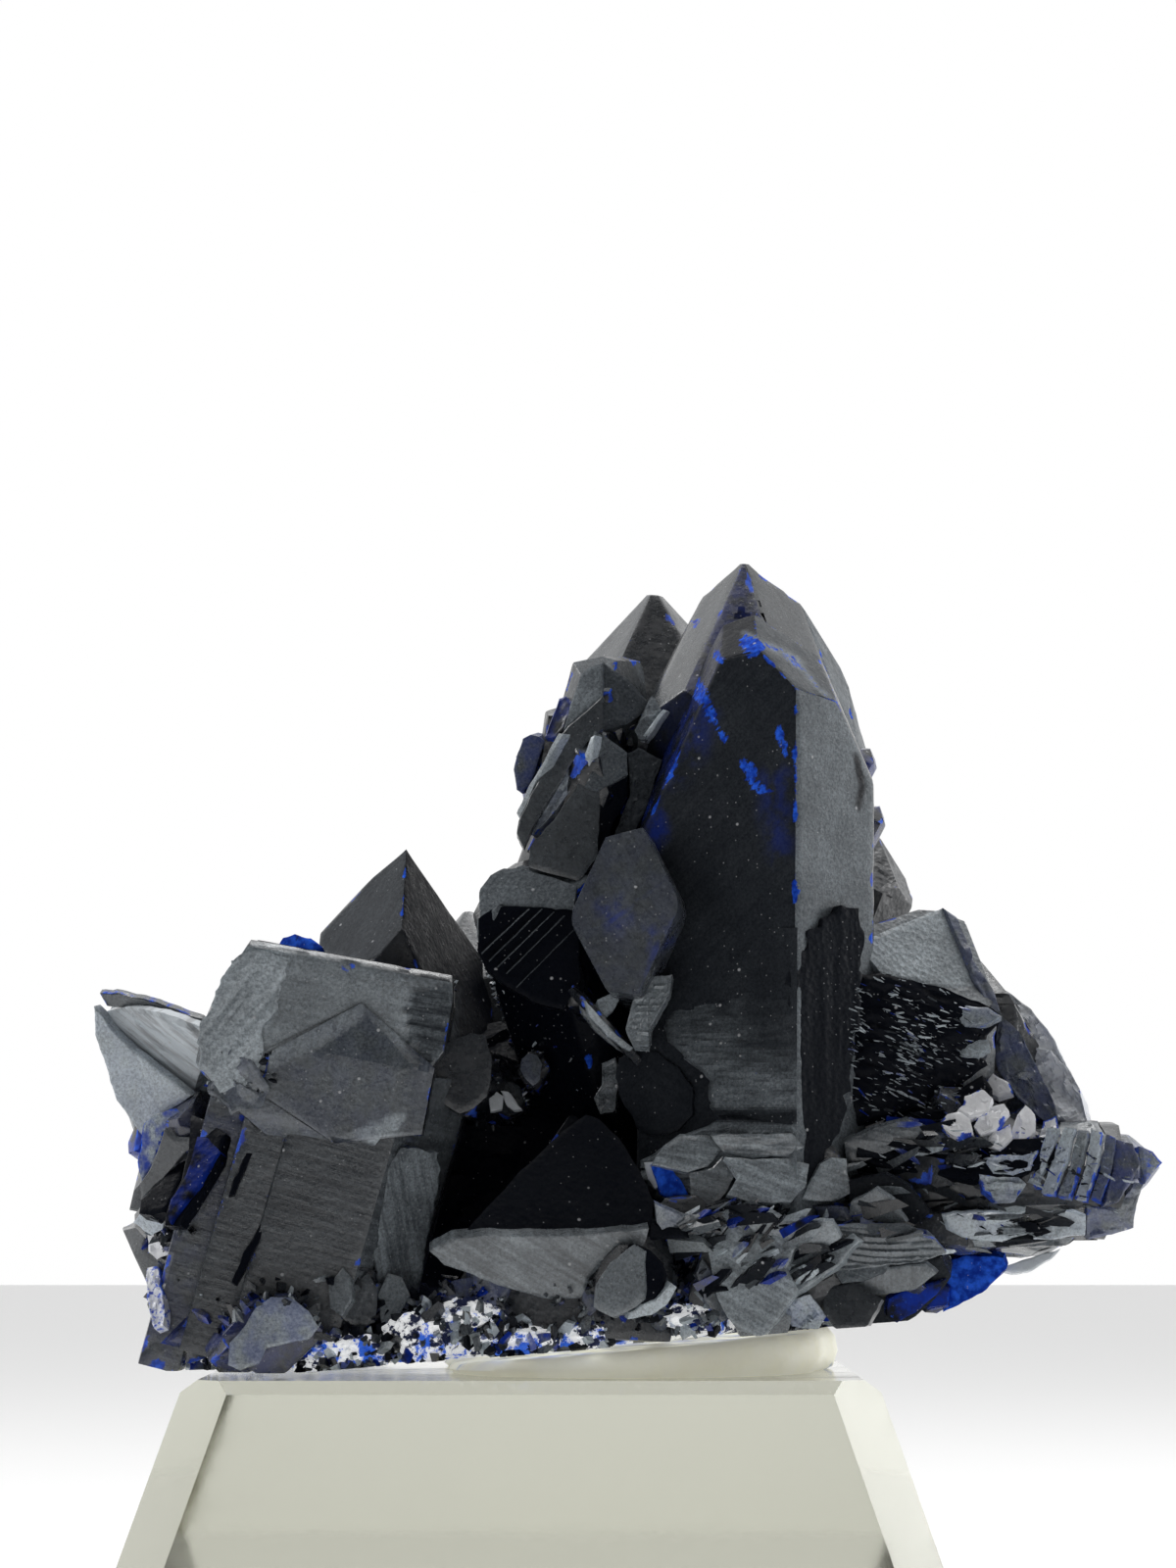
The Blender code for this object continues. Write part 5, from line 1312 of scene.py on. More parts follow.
spireFacets = {
    # painted light on the block's top; its front further down is painted near black
    "blockTop": area(340, 206, 350, 193, 364, 186, 382, 185, 438, 203, 436, 226, 358, 224, 339, 236,
        haze=0.24, y=-7.2, slope=(-0.1, 0.6), grain=0.7, dull=1),
    "blockBevel": area(337, 238, 358, 224, 354, 240, 347, 260, 339, 270, 336, 255, haze=0.26, y=-7.6,
        slope=(-0.8, 0.1), dull=1),
    "lineA": area(341.3, 272.3, 365.4, 249.4, 389.3, 227.3, 390.6, 227.6, 365.7, 250.7, 341.6, 273.6,
        haze=0.24, **scratch),
    "lineB": area(349.4, 279.4, 376.3, 253.3, 402.4, 227.4, 403.7, 227.7, 377.6, 253.6, 349.7, 280.7,
        haze=0.16, **scratch),
    "lineC": area(357.4, 286.4, 386.3, 258.3, 415.2, 230.2, 415.8, 230.8, 386.6, 259.6, 357.7, 287.7,
        haze=0.2, **scratch),
    "lineD": area(366.3, 293.3, 396.3, 263.3, 425.3, 234.3, 426.7, 234.7, 396.7, 264.7, 367.7, 293.7,
        haze=0.13, **scratch),
    "lineE": area(376.3, 307.3, 406.3, 277.3, 434.3, 249.3, 435.7, 249.7, 406.7, 278.7, 377.7, 307.7,
        haze=0.1, **scratch),
    "hexPlate": area(311, 361, 330, 354, 347, 356, 353, 384, 348, 419, 334, 430, 320, 436, 306, 427, 294,
        414, 288, 396, 296, 378, haze=0.05, y=-9.6, slope=(0.2, 0.1)),
    # painted glints: two small plates painted near white
    "whiteA": area(350, 420, 358, 413, 365, 418, 363, 430, 352, 433, thick=0.3, haze=1.5, slope=(0.1, 0.3),
        lift=0.5),
    "whiteB": area(361, 412, 368, 413, 376, 422, 383, 431, 374, 432, 367, 426, thick=0.3, haze=1.5,
        slope=(-0.2, 0.3), lift=0.5),
    "ovalBud": area(383, 380, 390, 374, 398, 376, 404, 386, 402, 400, 394, 407, 386, 400, 382, 390,
        haze=0.2, tint=0.1, slope=(0.1, 0.2), rim=0.2),
    "wedgeFace": area(447, 436, 462, 440, 482, 460, 500, 490, 516, 522, 514, 550, 450, 556, 336, 557, 328,
        550, 390, 485, 425, 452, thick=1.6, haze=0.01, y=-11.6, slope=(0.02, 0.6), grain=0.4, dull=1),
    "wedgeShelf": area(290, 574, 312, 562, 336, 558, 450, 557, 512, 552, 505, 568, 466, 584, 452, 602, 444,
        622, 410, 622, 370, 612, 305, 588, thick=1.4, haze=0.3, y=-13.7, slope=(0.05, -0.25), stripe=0.6,
        turn=60, rim=0.1),
    # the low gem: painted light on its left face, painted shade on its right face, a painted highlight on
    # its rim
    "gemLight": area(455, 630, 458, 608, 472, 586, 497, 566, 507, 574, 507, 622, 490, 634, 474, 641,
        haze=0.3, y=-14.75, slope=(-0.3, 0.1)),
    "gemShadeSide": area(497, 566, 512, 572, 524, 584, 531, 598, 526, 614, 512, 628, 504, 626, 504, 574,
        haze=0.003, y=-14.65, slope=(0.4, 0.1), dull=1),
    "gemRim": area(504, 628, 518, 622, 534, 606, 540, 610, 530, 628, 514, 638, 490, 642, 492, 636,
        haze=0.8, y=-14.8, slope=(0.3, -0.2)),
    "bluePane": area(514, 486, 534, 490, 544, 504, 552, 517, 540, 524, 524, 516, haze=0.05, blue=1, tint=1,
        slope=(0.1, 0.1), lift=0.5, rim=0.9, dull=1),
    "glintSliver": area(506, 484, 514, 484, 524, 506, 518, 512, 510, 502, thick=0.35, haze=1.4,
        slope=(-0.2, 0.1), lift=0.6),
    "darkBowl": area(482, 378, 500, 370, 520, 374, 540, 388, 556, 410, 556, 436, 540, 452, 518, 460, 500,
        450, 486, 428, 478, 400, kind="furrowed", haze=0.03, lift=0.15, turn=60, ragged=0.12, dull=1),
    # painted shade: a near-black plate where the right block shuts out the light
    "darkEdge": area(655, 284, 687, 238, 708, 225, 726, 227, 730, 279, 727, 331, 708, 452, 664, 522, 666,
        496, 674, 460, 662, 421, thick=0.8, kind="furrowed", haze=0.02, lift=0.12, grain=0.8, ragged=0.3,
        dull=1),
    "paleWedge": area(686, 486, 698, 480, 711, 480, 716, 515, 700, 524, 666, 522, haze=0.5, stripe=0.5,
        turn=70, rim=0.3),
    "blockFront": area(339, 238, 358, 225, 436, 227, 440, 250, 442, 300, 425, 330, 395, 322, 365, 304, 348,
        290, 338, 270, thick=0.8, haze=0.004, y=-8, slope=(0, 0.1), depth=0.4, dull=1),
    "hook": area(518, 296, 536, 294, 534, 312, 514, 346, 511, 368, 496, 366, 488, 350, 496, 320, thick=0.8,
        kind="layered", haze=0.4, y=-9.9, slope=(-0.1, 0.25), rim=0.3),
    "lowLip": area(518, 526, 550, 540, 578, 540, 605, 526, 602, 540, 580, 562, 554, 576, 534, 566, 520,
        546, kind="broken", haze=0.42, tint=0.1, slope=(0.1, -0.3), lift=0.6),
    "bladeA": area(442, 318, 494, 372, 486, 374, 462, 356, 446, 336, thick=0.3, haze=0.3, y=-8.4,
        slope=(0.5, -0.3), rim=0.3),
    "bladeB": area(448, 322, 478, 354, 496, 370, 492, 373, 470, 358, 452, 338, thick=0.25, haze=0.5,
        slope=(0.5, -0.3)),
    "paleBud": area(460, 320, 472, 314, 482, 318, 476, 330, 468, 338, 462, 330, haze=0.9, y=-8.8,
        slope=(0.2, 0.3), rim=0.2),
    "cavityStrip": area(464, 384, 478, 378, 482, 400, 476, 432, 462, 436, 456, 420, 464, 406,
        kind="layered", haze=0.25, y=-7.2, slope=(-0.2, 0.1), rim=0.3),
    "brokenA": area(514, 486, 526, 468, 543, 456, 572, 457, 584, 472, 572, 488, 550, 494, kind="stepped",
        haze=0.42, slope=(0.1, 0.2), stripe=0.5, turn=80),
    "brokenB": area(574, 457, 656, 456, 668, 470, 650, 478, 614, 480, 586, 474, kind="fibrous", haze=0.34,
        slope=(-0.1, -0.1), stripe=0.6, turn=85),
    "brokenC": area(588, 478, 616, 482, 652, 480, 674, 486, 670, 508, 656, 524, 614, 524, 592, 516, 602,
        498, haze=0.5, slope=(0.15, 0.3), stripe=0.5, turn=70),
    "brokenD": area(552, 496, 574, 490, 586, 478, 598, 498, 588, 516, 576, 530, 554, 528, haze=0.26,
        slope=(-0.3, 0.1), stripe=0.6, turn=75),
}

leftFacets = {
    "wingSlab": area(-46, 314, -30, 313, 19, 325, 58, 340, 64, 348, 19, 333, -38, 326, haze=0.2, y=-7.2,
        slope=(-0.1, -0.4), rim=0.6),
    "wingFurrows": area(-40, 332, -20, 328, 19, 333, 63, 350, 62, 370, 50, 416, -15, 368, -30, 354,
        kind="furrowed", haze=1.3, grain=0.4, stripe=1, turn=52, depth=3.6),
    "wingSmooth": area(-52, 326, -28, 357, 47, 417, 24, 433, -2, 457, -28, 422, -50, 355, haze=0.68,
        tint=0.08, depth=0.3),
    "leftLilac": area(-1, 447, 10, 436, 26, 431, 40, 433, 22, 450, 8, 488, -2, 504, -6, 485, thick=0.9,
        haze=0.6, blue=0, tint=0.9, rim=0.9, dull=1),
    "prismFace": area(22, 450, 32, 458, 46, 460, 45, 472, -2, 523, -3, 506, 8, 488, thick=0.9, haze=0.1),
    "prismDark": area(-2, 523, 45, 471, 38, 502, 22, 534, 8, 538, -4, 536, thick=0.8, haze=0.004, dull=1),
    "paleStub": area(-4, 536, 8, 538, 21, 536, 19, 552, 8, 559, -10, 546, haze=0.9, tint=0.1),
    # painted shade: a near-black sheet over the gap beside the blade
    "bladeGapShade": area(48, 436, 65, 442, 82, 456, 76, 484, 38, 548, 22, 548, 26, 528, 38, 502, 46, 472,
        haze=0.003, lift=0.2, dull=1),
    "bladeBlue": area(54, 458, 64, 460, 77, 474, 58, 508, 28, 546, 23, 540, 28, 522, 44, 496, haze=0,
        blue=0, tint=0.5, grain=0.4, rim=0.2, dull=1),
    "bevelLight": area(248, 488, 262, 468, 300, 476, 298, 515, 280, 610, 265, 630, 246, 626, 230, 610,
        kind="fibrous", haze=0.26, lift=0.2, grain=0.4, stripe=0.6, turn=10, ragged=0.15, dull=1),
    "lilacPlate": area(103, 650, 116, 630, 130, 620, 152, 621, 168, 634, 178, 650, 168, 662, 126, 671, 118,
        686, 100, 692, 88, 688, 90, 666, haze=0.6, tint=0.3, slope=(0.1, 0.1)),
    "fanA": area(188, 606, 202, 590, 210, 600, 212, 622, 202, 640, 190, 630, kind="furrowed", haze=0.3,
        slope=(-0.2, 0.2), turn=30),
    "fanB": area(202, 640, 220, 602, 230, 596, 238, 616, 236, 644, 220, 652, kind="furrowed", haze=0.12,
        slope=(0.3, 0.1), turn=-20),
    "fanC": area(238, 616, 248, 596, 262, 600, 270, 618, 258, 638, 242, 646, kind="furrowed", haze=0.35,
        slope=(0.1, 0.3), turn=10),
    "blueBud": area(134, 267, 140, 257, 152, 253, 168, 257, 180, 266, 168, 272, 148, 272, thick=1.2,
        haze=0.02, blue=0.7, tint=1, y=-4, slope=(-0.2, 0.5), rim=0.7, dull=1),
    "roughStrip": area(86, 278, 112, 269, 146, 280, 138, 320, 122, 350, 118, 385, 102, 408, 76, 412, 57,
        390, 56, 350, kind="furrowed", haze=0.6, y=-13.35, slope=(0.12, 0), grain=0.7, turn=-38, depth=2,
        ragged=0.2),
    "rubble": area(64, 382, 86, 372, 112, 382, 126, 404, 118, 428, 90, 434, 68, 416, kind="broken",
        haze=0.24, tint=0.08, y=-13.45, slope=(0.1, 0), rim=0.2, ragged=0.25),
    "crackA": area(108, 468, 113, 472, 102, 496, 92, 516, 86, 518, 92, 500, thick=0.25, haze=0.004,
        y=-12.7, slope=(0, 0.3), dull=1),
    "crackB": area(130, 522, 134, 526, 96, 608, 90, 604, 102, 576, 118, 548, thick=0.25, haze=0.004,
        y=-12.7, slope=(0, 0.3), dull=1),
    "cornerCrust": area(4, 554, 18, 550, 28, 562, 26, 580, 14, 584, 6, 576, kind="broken", haze=1.9,
        rim=0.8, ragged=0.15),
    "cornerCrumbs": area(5, 590, 14, 586, 22, 610, 22, 645, 12, 650, 6, 625, kind="broken", haze=1.7,
        blue=0.4, tint=0.3, rim=1, ragged=0.15),
}

rightFacets = {
    # the right block's rough top and its side, painted pale: painted light on the upward faces
    "frostedLitTop": area(732, 260, 755, 248, 811, 226, 822, 245, 840, 295, 858, 326, 813, 308, 750, 295, 736, 278,
        haze=0.7, lift=0.15, grain=1),
    "frostedLitTopSide": area(811, 226, 824, 234, 844, 285, 866, 321, 870, 334, 858, 327, 840, 296, kind="stepped",
        haze=0.3, tint=0.2, lift=0.2, grain=0.5, rim=0.5),
    "glitterFace": area(726, 294, 750, 294, 813, 308, 862, 330, 870, 340, 855, 356, 850, 376, 856, 386,
        813, 416, 745, 443, 718, 448, 712, 420, 724, 330, thick=1.2, kind="glitter", haze=0.006, lift=0.15,
        grain=0.3, turn=-24, bow=0.3, dull=1),
    "shingleA": area(818, 336, 834, 326, 856, 328, 870, 336, 854, 344, 834, 346, haze=0.5, tint=0.15,
        slope=(-0.1, 0.4), rim=0.4),
    "shingleC": area(822, 366, 838, 360, 856, 360, 858, 368, 846, 376, 830, 378, haze=0.8,
        slope=(-0.2, 0.5)),
    "shingleD": area(830, 382, 844, 376, 856, 376, 852, 386, 840, 392, haze=0.14, tint=0.2,
        slope=(0.1, 0.3), rim=0.3),
    "glareTop": area(853, 403, 861, 394, 877, 403, 881, 413, 866, 418, 852, 413, lift=0.9, depth=0.4,
        **glare),
    "glareHigh": area(824, 432, 832, 418, 848, 411, 858, 418, 856, 432, 837, 439, lift=1.2, depth=0.8,
        ragged=0.12, **glare),
    "bandA": area(932, 448, 942, 450, 934, 480, 920, 516, 908, 514, 920, 482, kind="broken", haze=1.05,
        tint=0.15, slope=(-0.4, 0.3), rim=0.8),
    "bandB": area(946, 452, 956, 452, 950, 482, 936, 520, 924, 518, 938, 486, kind="broken", haze=0.45,
        tint=0.15, slope=(-0.4, 0.3), rim=0.8),
    "bandC": area(960, 452, 970, 454, 964, 486, 952, 522, 941, 520, 954, 486, kind="broken", haze=1.15,
        tint=0.1, slope=(-0.4, 0.3), rim=0.8),
    "bandD": area(974, 456, 984, 460, 980, 490, 968, 524, 957, 522, 968, 490, kind="furrowed", haze=0.32,
        tint=0.25, slope=(-0.4, 0.3), rim=0.7),
    "bandE": area(914, 450, 926, 450, 916, 480, 902, 506, 894, 504, 906, 480, kind="broken", haze=0.9,
        tint=0.15, slope=(-0.3, 0.3), rim=0.7),
    "endShade": area(986, 462, 1002, 466, 1010, 486, 988, 524, 972, 528, 982, 492, kind="furrowed",
        haze=0.14, tint=0.3, slope=(0.3, 0.2), turn=20),
    "endBlue": area(1008, 468, 1022, 474, 1031, 484, 1022, 494, 1014, 506, 1010, 490, haze=0.5, blue=0.35,
        tint=0.5, slope=(0.4, 0.2), rim=1),
    "endLow": area(954, 528, 974, 530, 990, 526, 1002, 506, 1012, 508, 1004, 528, 1002, 550, 980, 558, 954,
        562, kind="glitter", haze=0.3, tint=0.25, slope=(0.2, -0.2), rim=0.5),
    "crackleA": area(850, 480, 868, 476, 890, 478, 906, 472, 898, 490, 880, 496, 860, 494, kind="glitter",
        haze=0.95, tint=0.2, slope=(-0.1, 0.5), rim=0.8, depth=1.6),
    "crackleB": area(846, 496, 884, 498, 894, 506, 884, 520, 862, 522, 850, 512, kind="glitter", haze=0.8,
        tint=0.2, slope=(0.1, 0.4), rim=0.8, depth=1.6),
    "longShelf": area(808, 538, 835, 534, 910, 538, 940, 534, 954, 540, 952, 558, 920, 562, 855, 564, 825,
        560, 812, 552, kind="stepped", haze=0.9, tint=0.1, slope=(-0.05, -0.2), rim=0.05),
    "shard": area(813, 584, 830, 579, 869, 580, 872, 592, 848, 616, 808, 635, thick=0.8, haze=0.02, blue=1,
        tint=1, slope=(-0.2, -0.3), dull=1),
    "paleFin": area(872, 588, 928, 571, 918, 582, 900, 592, 880, 596, 872, 594, haze=1.4, y=-7,
        slope=(0.1, 0.2)),
    "bellyLight": area(698, 590, 718, 578, 738, 576, 755, 584, 748, 596, 726, 604, 706, 606, haze=0.25,
        slope=(-0.2, 0.1), stripe=0.4, turn=70, dull=1),
    "bellyBlue": area(753, 622, 775, 612, 812, 602, 802, 618, 780, 636, 762, 646, 752, 640, haze=0.02,
        blue=0.25, tint=0.9, slope=(0.2, -0.3), dull=1),
    # painted shadow: a near-black sheet over the shadow band under the glare plates
    "shadeLeaf": area(712, 458, 792, 430, 850, 396, 860, 410, 840, 450, 850, 480, 890, 472, 924, 460, 922,
        480, 890, 496, 840, 500, 790, 496, 740, 486, 712, 476, thick=1.6, kind="furrowed", haze=0.006,
        lift=0.1, turn=70, dull=1),
    "leafBand": area(710, 464, 740, 450, 775, 442, 825, 462, 840, 476, 810, 476, 780, 466, 750, 468, 712,
        490, kind="furrowed", haze=0.22, slope=(0.1, -0.3), lift=0.8, turn=80, bow=0.3),
    "darkLeaf": area(712, 504, 750, 496, 776, 510, 796, 536, 780, 548, 716, 532, haze=0.03,
        slope=(-0.2, -0.2), turn=30, dull=1),
    "bandFacet": area(716, 526, 740, 512, 758, 524, 772, 546, 755, 558, 730, 550, 714, 540,
        kind="furrowed", haze=0.26, slope=(-0.3, -0.3), lift=0.75, turn=-50),
    "fibreShelf": area(656, 562, 680, 550, 720, 548, 765, 552, 800, 562, 812, 576, 780, 586, 700, 594, 665,
        590, kind="layered", haze=0.34, slope=(-0.1, -0.2), lift=0.5, rim=0.5),
    "darkBelly": area(674, 600, 700, 590, 740, 592, 808, 580, 816, 600, 800, 622, 772, 646, 740, 662, 700,
        668, 676, 650, thick=1.4, haze=0.05, y=-10.2, slope=(-0.15, -0.45), grain=0.1, dull=1),
    "bellyFacet": area(718, 600, 750, 590, 790, 586, 802, 596, 780, 612, 748, 618, 722, 616, haze=0.3,
        slope=(-0.25, -0.2), stripe=0.3),
    "roughRim": area(858, 302, 874, 310, 900, 330, 920, 356, 948, 410, 956, 446, 940, 450, 924, 440, 912,
        410, 896, 390, 868, 336, thick=2.2, kind="broken", haze=1.6, tint=0.06, y=-4.6, slope=(-0.3, 0.35),
        grain=1, stripe=1, turn=-60, rim=0.4, depth=1.8),
    "blueHollow": area(870, 336, 886, 350, 916, 410, 928, 442, 910, 442, 886, 420, 866, 392, 860, 360,
        thick=1.6, kind="broken", haze=0.25, tint=0.25, y=-6, slope=(-0.2, 0.3)),
    "facetBig": area(572, 576, 602, 536, 650, 540, 666, 558, 650, 590, 662, 612, 640, 645, 625, 662, 600,
        652, 580, 622, thick=0.9, haze=0.6, slope=(-0.15, 0.12), stripe=0.4, turn=60, rim=0.2),
    "facetLean": area(628, 618, 650, 596, 690, 572, 718, 556, 726, 562, 700, 590, 640, 630,
        kind="furrowed", haze=0.6, slope=(-0.3, 0.25), lift=0.75, turn=50, rim=0.3),
    "facetSide": area(566, 582, 580, 600, 595, 640, 585, 645, 568, 622, 560, 596, haze=0.2, tint=0.1,
        slope=(0.25, 0.1)),
    "crossPlate": area(602, 538, 626, 532, 650, 544, 696, 544, 706, 562, 680, 572, 650, 562, 620, 556,
        haze=0.45, slope=(-0.2, -0.3), lift=0.65, turn=20),
    "lightWedge": area(676, 528, 708, 532, 718, 548, 700, 552, 686, 544, haze=0.15, tint=0.2,
        slope=(-0.5, -0.2), lift=0.75, rim=0.2),
    "greyToe": area(594, 630, 630, 626, 656, 640, 650, 662, 626, 670, 606, 664, thick=0.8, haze=0.32,
        slope=(0.1, -0.1), lift=0.65, stripe=0.2),
    "paleToe": area(642, 626, 674, 618, 690, 640, 682, 652, 656, 650, kind="broken", haze=0.85, tint=0.25,
        slope=(0.1, -0.3)),
    "darkToe": area(686, 610, 718, 606, 746, 622, 730, 652, 700, 654, 688, 636, haze=0.07,
        slope=(-0.3, 0.2)),
    "glareLeft": area(804, 446, 814, 436, 825, 433, 836, 439, 839, 453, 824, 459, lift=1.2, **glare),
    "glareInner": area(840, 447, 851, 432, 872, 424, 877, 432, 866, 447, 848, 457, lift=1.15, **glare),
    "glareLow": area(851, 466, 861, 453, 878, 446, 879, 458, 866, 471, lift=1.1, **glare),
    "glareRight": area(874, 466, 885, 437, 893, 426, 903, 436, 902, 453, 887, 467, lift=1.1, **glare),
    "glareEnd": area(907, 458, 911, 443, 924, 438, 927, 453, 918, 459, lift=0.9, **glare),
}

carrier = BVHTree.FromPolygons(*(array.tolist() for array in joinParts(grown)))
layFacets("leaningFacets", leaningFacets, 0.14, 2100)
layFacets("spireFacets", spireFacets, 0.15, 2300)
layFacets("leftFacets", leftFacets, 0.16, 2500)
layFacets("rightFacets", rightFacets, 0.17, 2700)

# the massive heart, the rock, the putty and the block


def ball(centre, radii, push, cell, seed):
    # a closed ball: rings of latitude, each point moved out or in by push(unit place)
    rings = max(int(math.pi * max(radii) / cell), 8)
    around = 2 * rings
    down = np.linspace(0, math.pi, rings + 1)[:, None]
    turn = np.linspace(0, 2 * math.pi, around, endpoint=False)[None]
    unit = np.stack([np.sin(down) * np.cos(turn), np.sin(down) * np.sin(turn),
                     np.cos(down) + turn * 0], axis=-1).reshape(-1, 3)
    place = np.array(centre) + unit * np.array(radii) * (1 + push(unit, seed))[:, None]
    return place, ringSquares(rings + 1, around, True)


def roundNoise(turn, size, octaves, seed):
    # layeredNoise along a circle
    circle = np.stack([np.cos(turn) * size, np.sin(turn) * size, turn * 0], axis=-1)
    return layeredNoise(circle, octaves, seed)


def makeCore():
    # a dark ball filling the gaps between the crystals
    def push(unit, seed):
        flat = np.stack([np.arctan2(unit[:, 1], unit[:, 0]) * 6, unit[:, 2] * 6], axis=1)
        offset, own = brokenCells(flat, seed)
        return 0.05 * (offset * own).sum(axis=1) + 0.02 * layeredNoise(unit * 6, 3, seed)
    place, squares = ball(coreShape["centre"], coreShape["radii"], push, coreShape["cell"], 3)
    liftToSeat(place)
    marks = np.tile(faceMarks(dict(haze=0.003, grain=0.6, dull=1)), (len(squares), 1))
    spread = place[squares][..., :2]
    addCrystals("massiveHeart", makeMesh("massiveHeart", place, squares, marks, place[:, 0] * 0, spread))


makeCore()

rockLumps = (
    ((-8.2, -12.4, 13.1), (1.9, 1.3, 0.9)), ((-4.7, -12.8, 13.9), (1.3, 1, 1)),
    ((-2.8, -12.6, 14.7), (1.5, 1, 0.7)), ((-0.6, -13.2, 13.7), (1.5, 1, 0.6)),
    ((2.2, -12.8, 13.8), (1, 0.9, 0.7)), ((6.9, -12.4, 14.6), (1, 0.9, 0.6)),
    ((11.8, -9.8, 14.8), (1.2, 1.2, 0.7)), ((-14.6, -9.6, 13.3), (1, 1.2, 0.8)),
    ((-16, -2, 13.4), (0.9, 1.6, 0.8)), ((15, 1, 15.2), (0.9, 1.7, 0.8)),
    ((9, 10.8, 14.7), (1.6, 0.9, 0.8)), ((0, 12, 14.2), (1.9, 1, 0.9)),
    ((-9, 10.4, 13.5), (1.6, 1, 0.9)),
)
rockBed = {"centre": (-1.5, -0.5), "radii": (13.4, 11.2), "thick": 0.8, "around": 240,
           "profile": ((0, 0), (0.5, 0), (0.97, 0), (1, 0.2), (1, 0.8), (0.96, 1), (0.5, 1), (0, 1))}


def roundPad(middle, reach, turn, low, high, profile):
    # a flat pad as rings out from its middle, up over the rim and back: reach is right and front
    profile = np.array(profile, float)
    x = middle[0] + profile[:, :1] * reach[0] * np.cos(turn)
    y = middle[1] + profile[:, :1] * reach[1] * np.sin(turn)
    bottom, top = low(x), high(x)
    place = np.stack([x, y, bottom + (top - bottom) * profile[:, 1:]], axis=-1).reshape(-1, 3)
    return place, ringSquares(len(profile), turn.size)


def makeRock():
    # knobs of crust round a thin ragged bed
    def push(unit, seed):
        knobs = np.abs(layeredNoise(unit * 3.1, 3, seed + 5))
        return 0.35 * layeredNoise(unit * 2.0, 4, seed) + 0.40 * (0.35 - knobs)
    parts = []
    for i, (centre, radii) in enumerate(rockLumps):
        place, squares = ball(centre, radii, push, 0.13, 40 + i)
        liftToSeat(place)
        parts.append((place, squares))
    turn = np.linspace(0, 2 * math.pi, rockBed["around"], endpoint=False)
    reach = [radius * (1 + 0.05 * roundNoise(turn, 3, 4, 9)) for radius in rockBed["radii"]]
    parts.append(roundPad(rockBed["centre"], reach, turn, seatLimit,
                          lambda x: seatLimit(x) + rockBed["thick"], rockBed["profile"]))
    addPiece("crust", makeMesh("crust", *joinParts(parts), sharp=60), "matrix", crust)


makeRock()

puttyOutline = ((-2.6, -10.6), (1, -12.8), (7, -12.4), (11.6, -9.6), (13.4, -4),
                (13.2, 4), (9, 9.3), (1.5, 10.6), (-2.8, 7.6), (-3.4, -2))
puttyShape = {"bottom": 11.95, "leastTop": 12.35, "sunk": 0.3, "around": 200, "profile": (
    (0, 0), (0.6, 0), (0.93, 0), (0.975, 0.1), (1, 0.45), (0.985, 0.8), (0.95, 1), (0.5, 1), (0, 1))}


def makePuttyPad():
    # a pressed pad: its outline rounded off, bulging at the edge, its foot wetted onto the block
    ends = np.array(puttyOutline)
    middle = ends.mean(axis=0)
    turn = np.linspace(-math.pi, math.pi, puttyShape["around"], endpoint=False)
    angle = np.arctan2(ends[:, 1] - middle[1], ends[:, 0] - middle[0])
    far = np.linalg.norm(ends - middle, axis=1)
    order = np.argsort(angle)
    reach = np.interp(turn, angle[order], far[order], period=2 * math.pi)
    for _ in range(6):
        reach = (np.roll(reach, 1) + 2 * reach + np.roll(reach, -1)) / 4
    reach = reach * 0.97 * (1 + 0.02 * roundNoise(turn, 2, 3, 4))

    def top(x):
        under = seat["height"] - seat["rock"] - puttyShape["sunk"] + seat["rise"] * x
        return np.maximum(under, puttyShape["leastTop"])
    place, squares = roundPad(middle, (reach, reach), turn, lambda x: puttyShape["bottom"], top,
                              puttyShape["profile"])
    addPiece("puttyPad", makeMesh("puttyPad", place, squares, sharp=80), "mounting_putty", putty)


makePuttyPad()
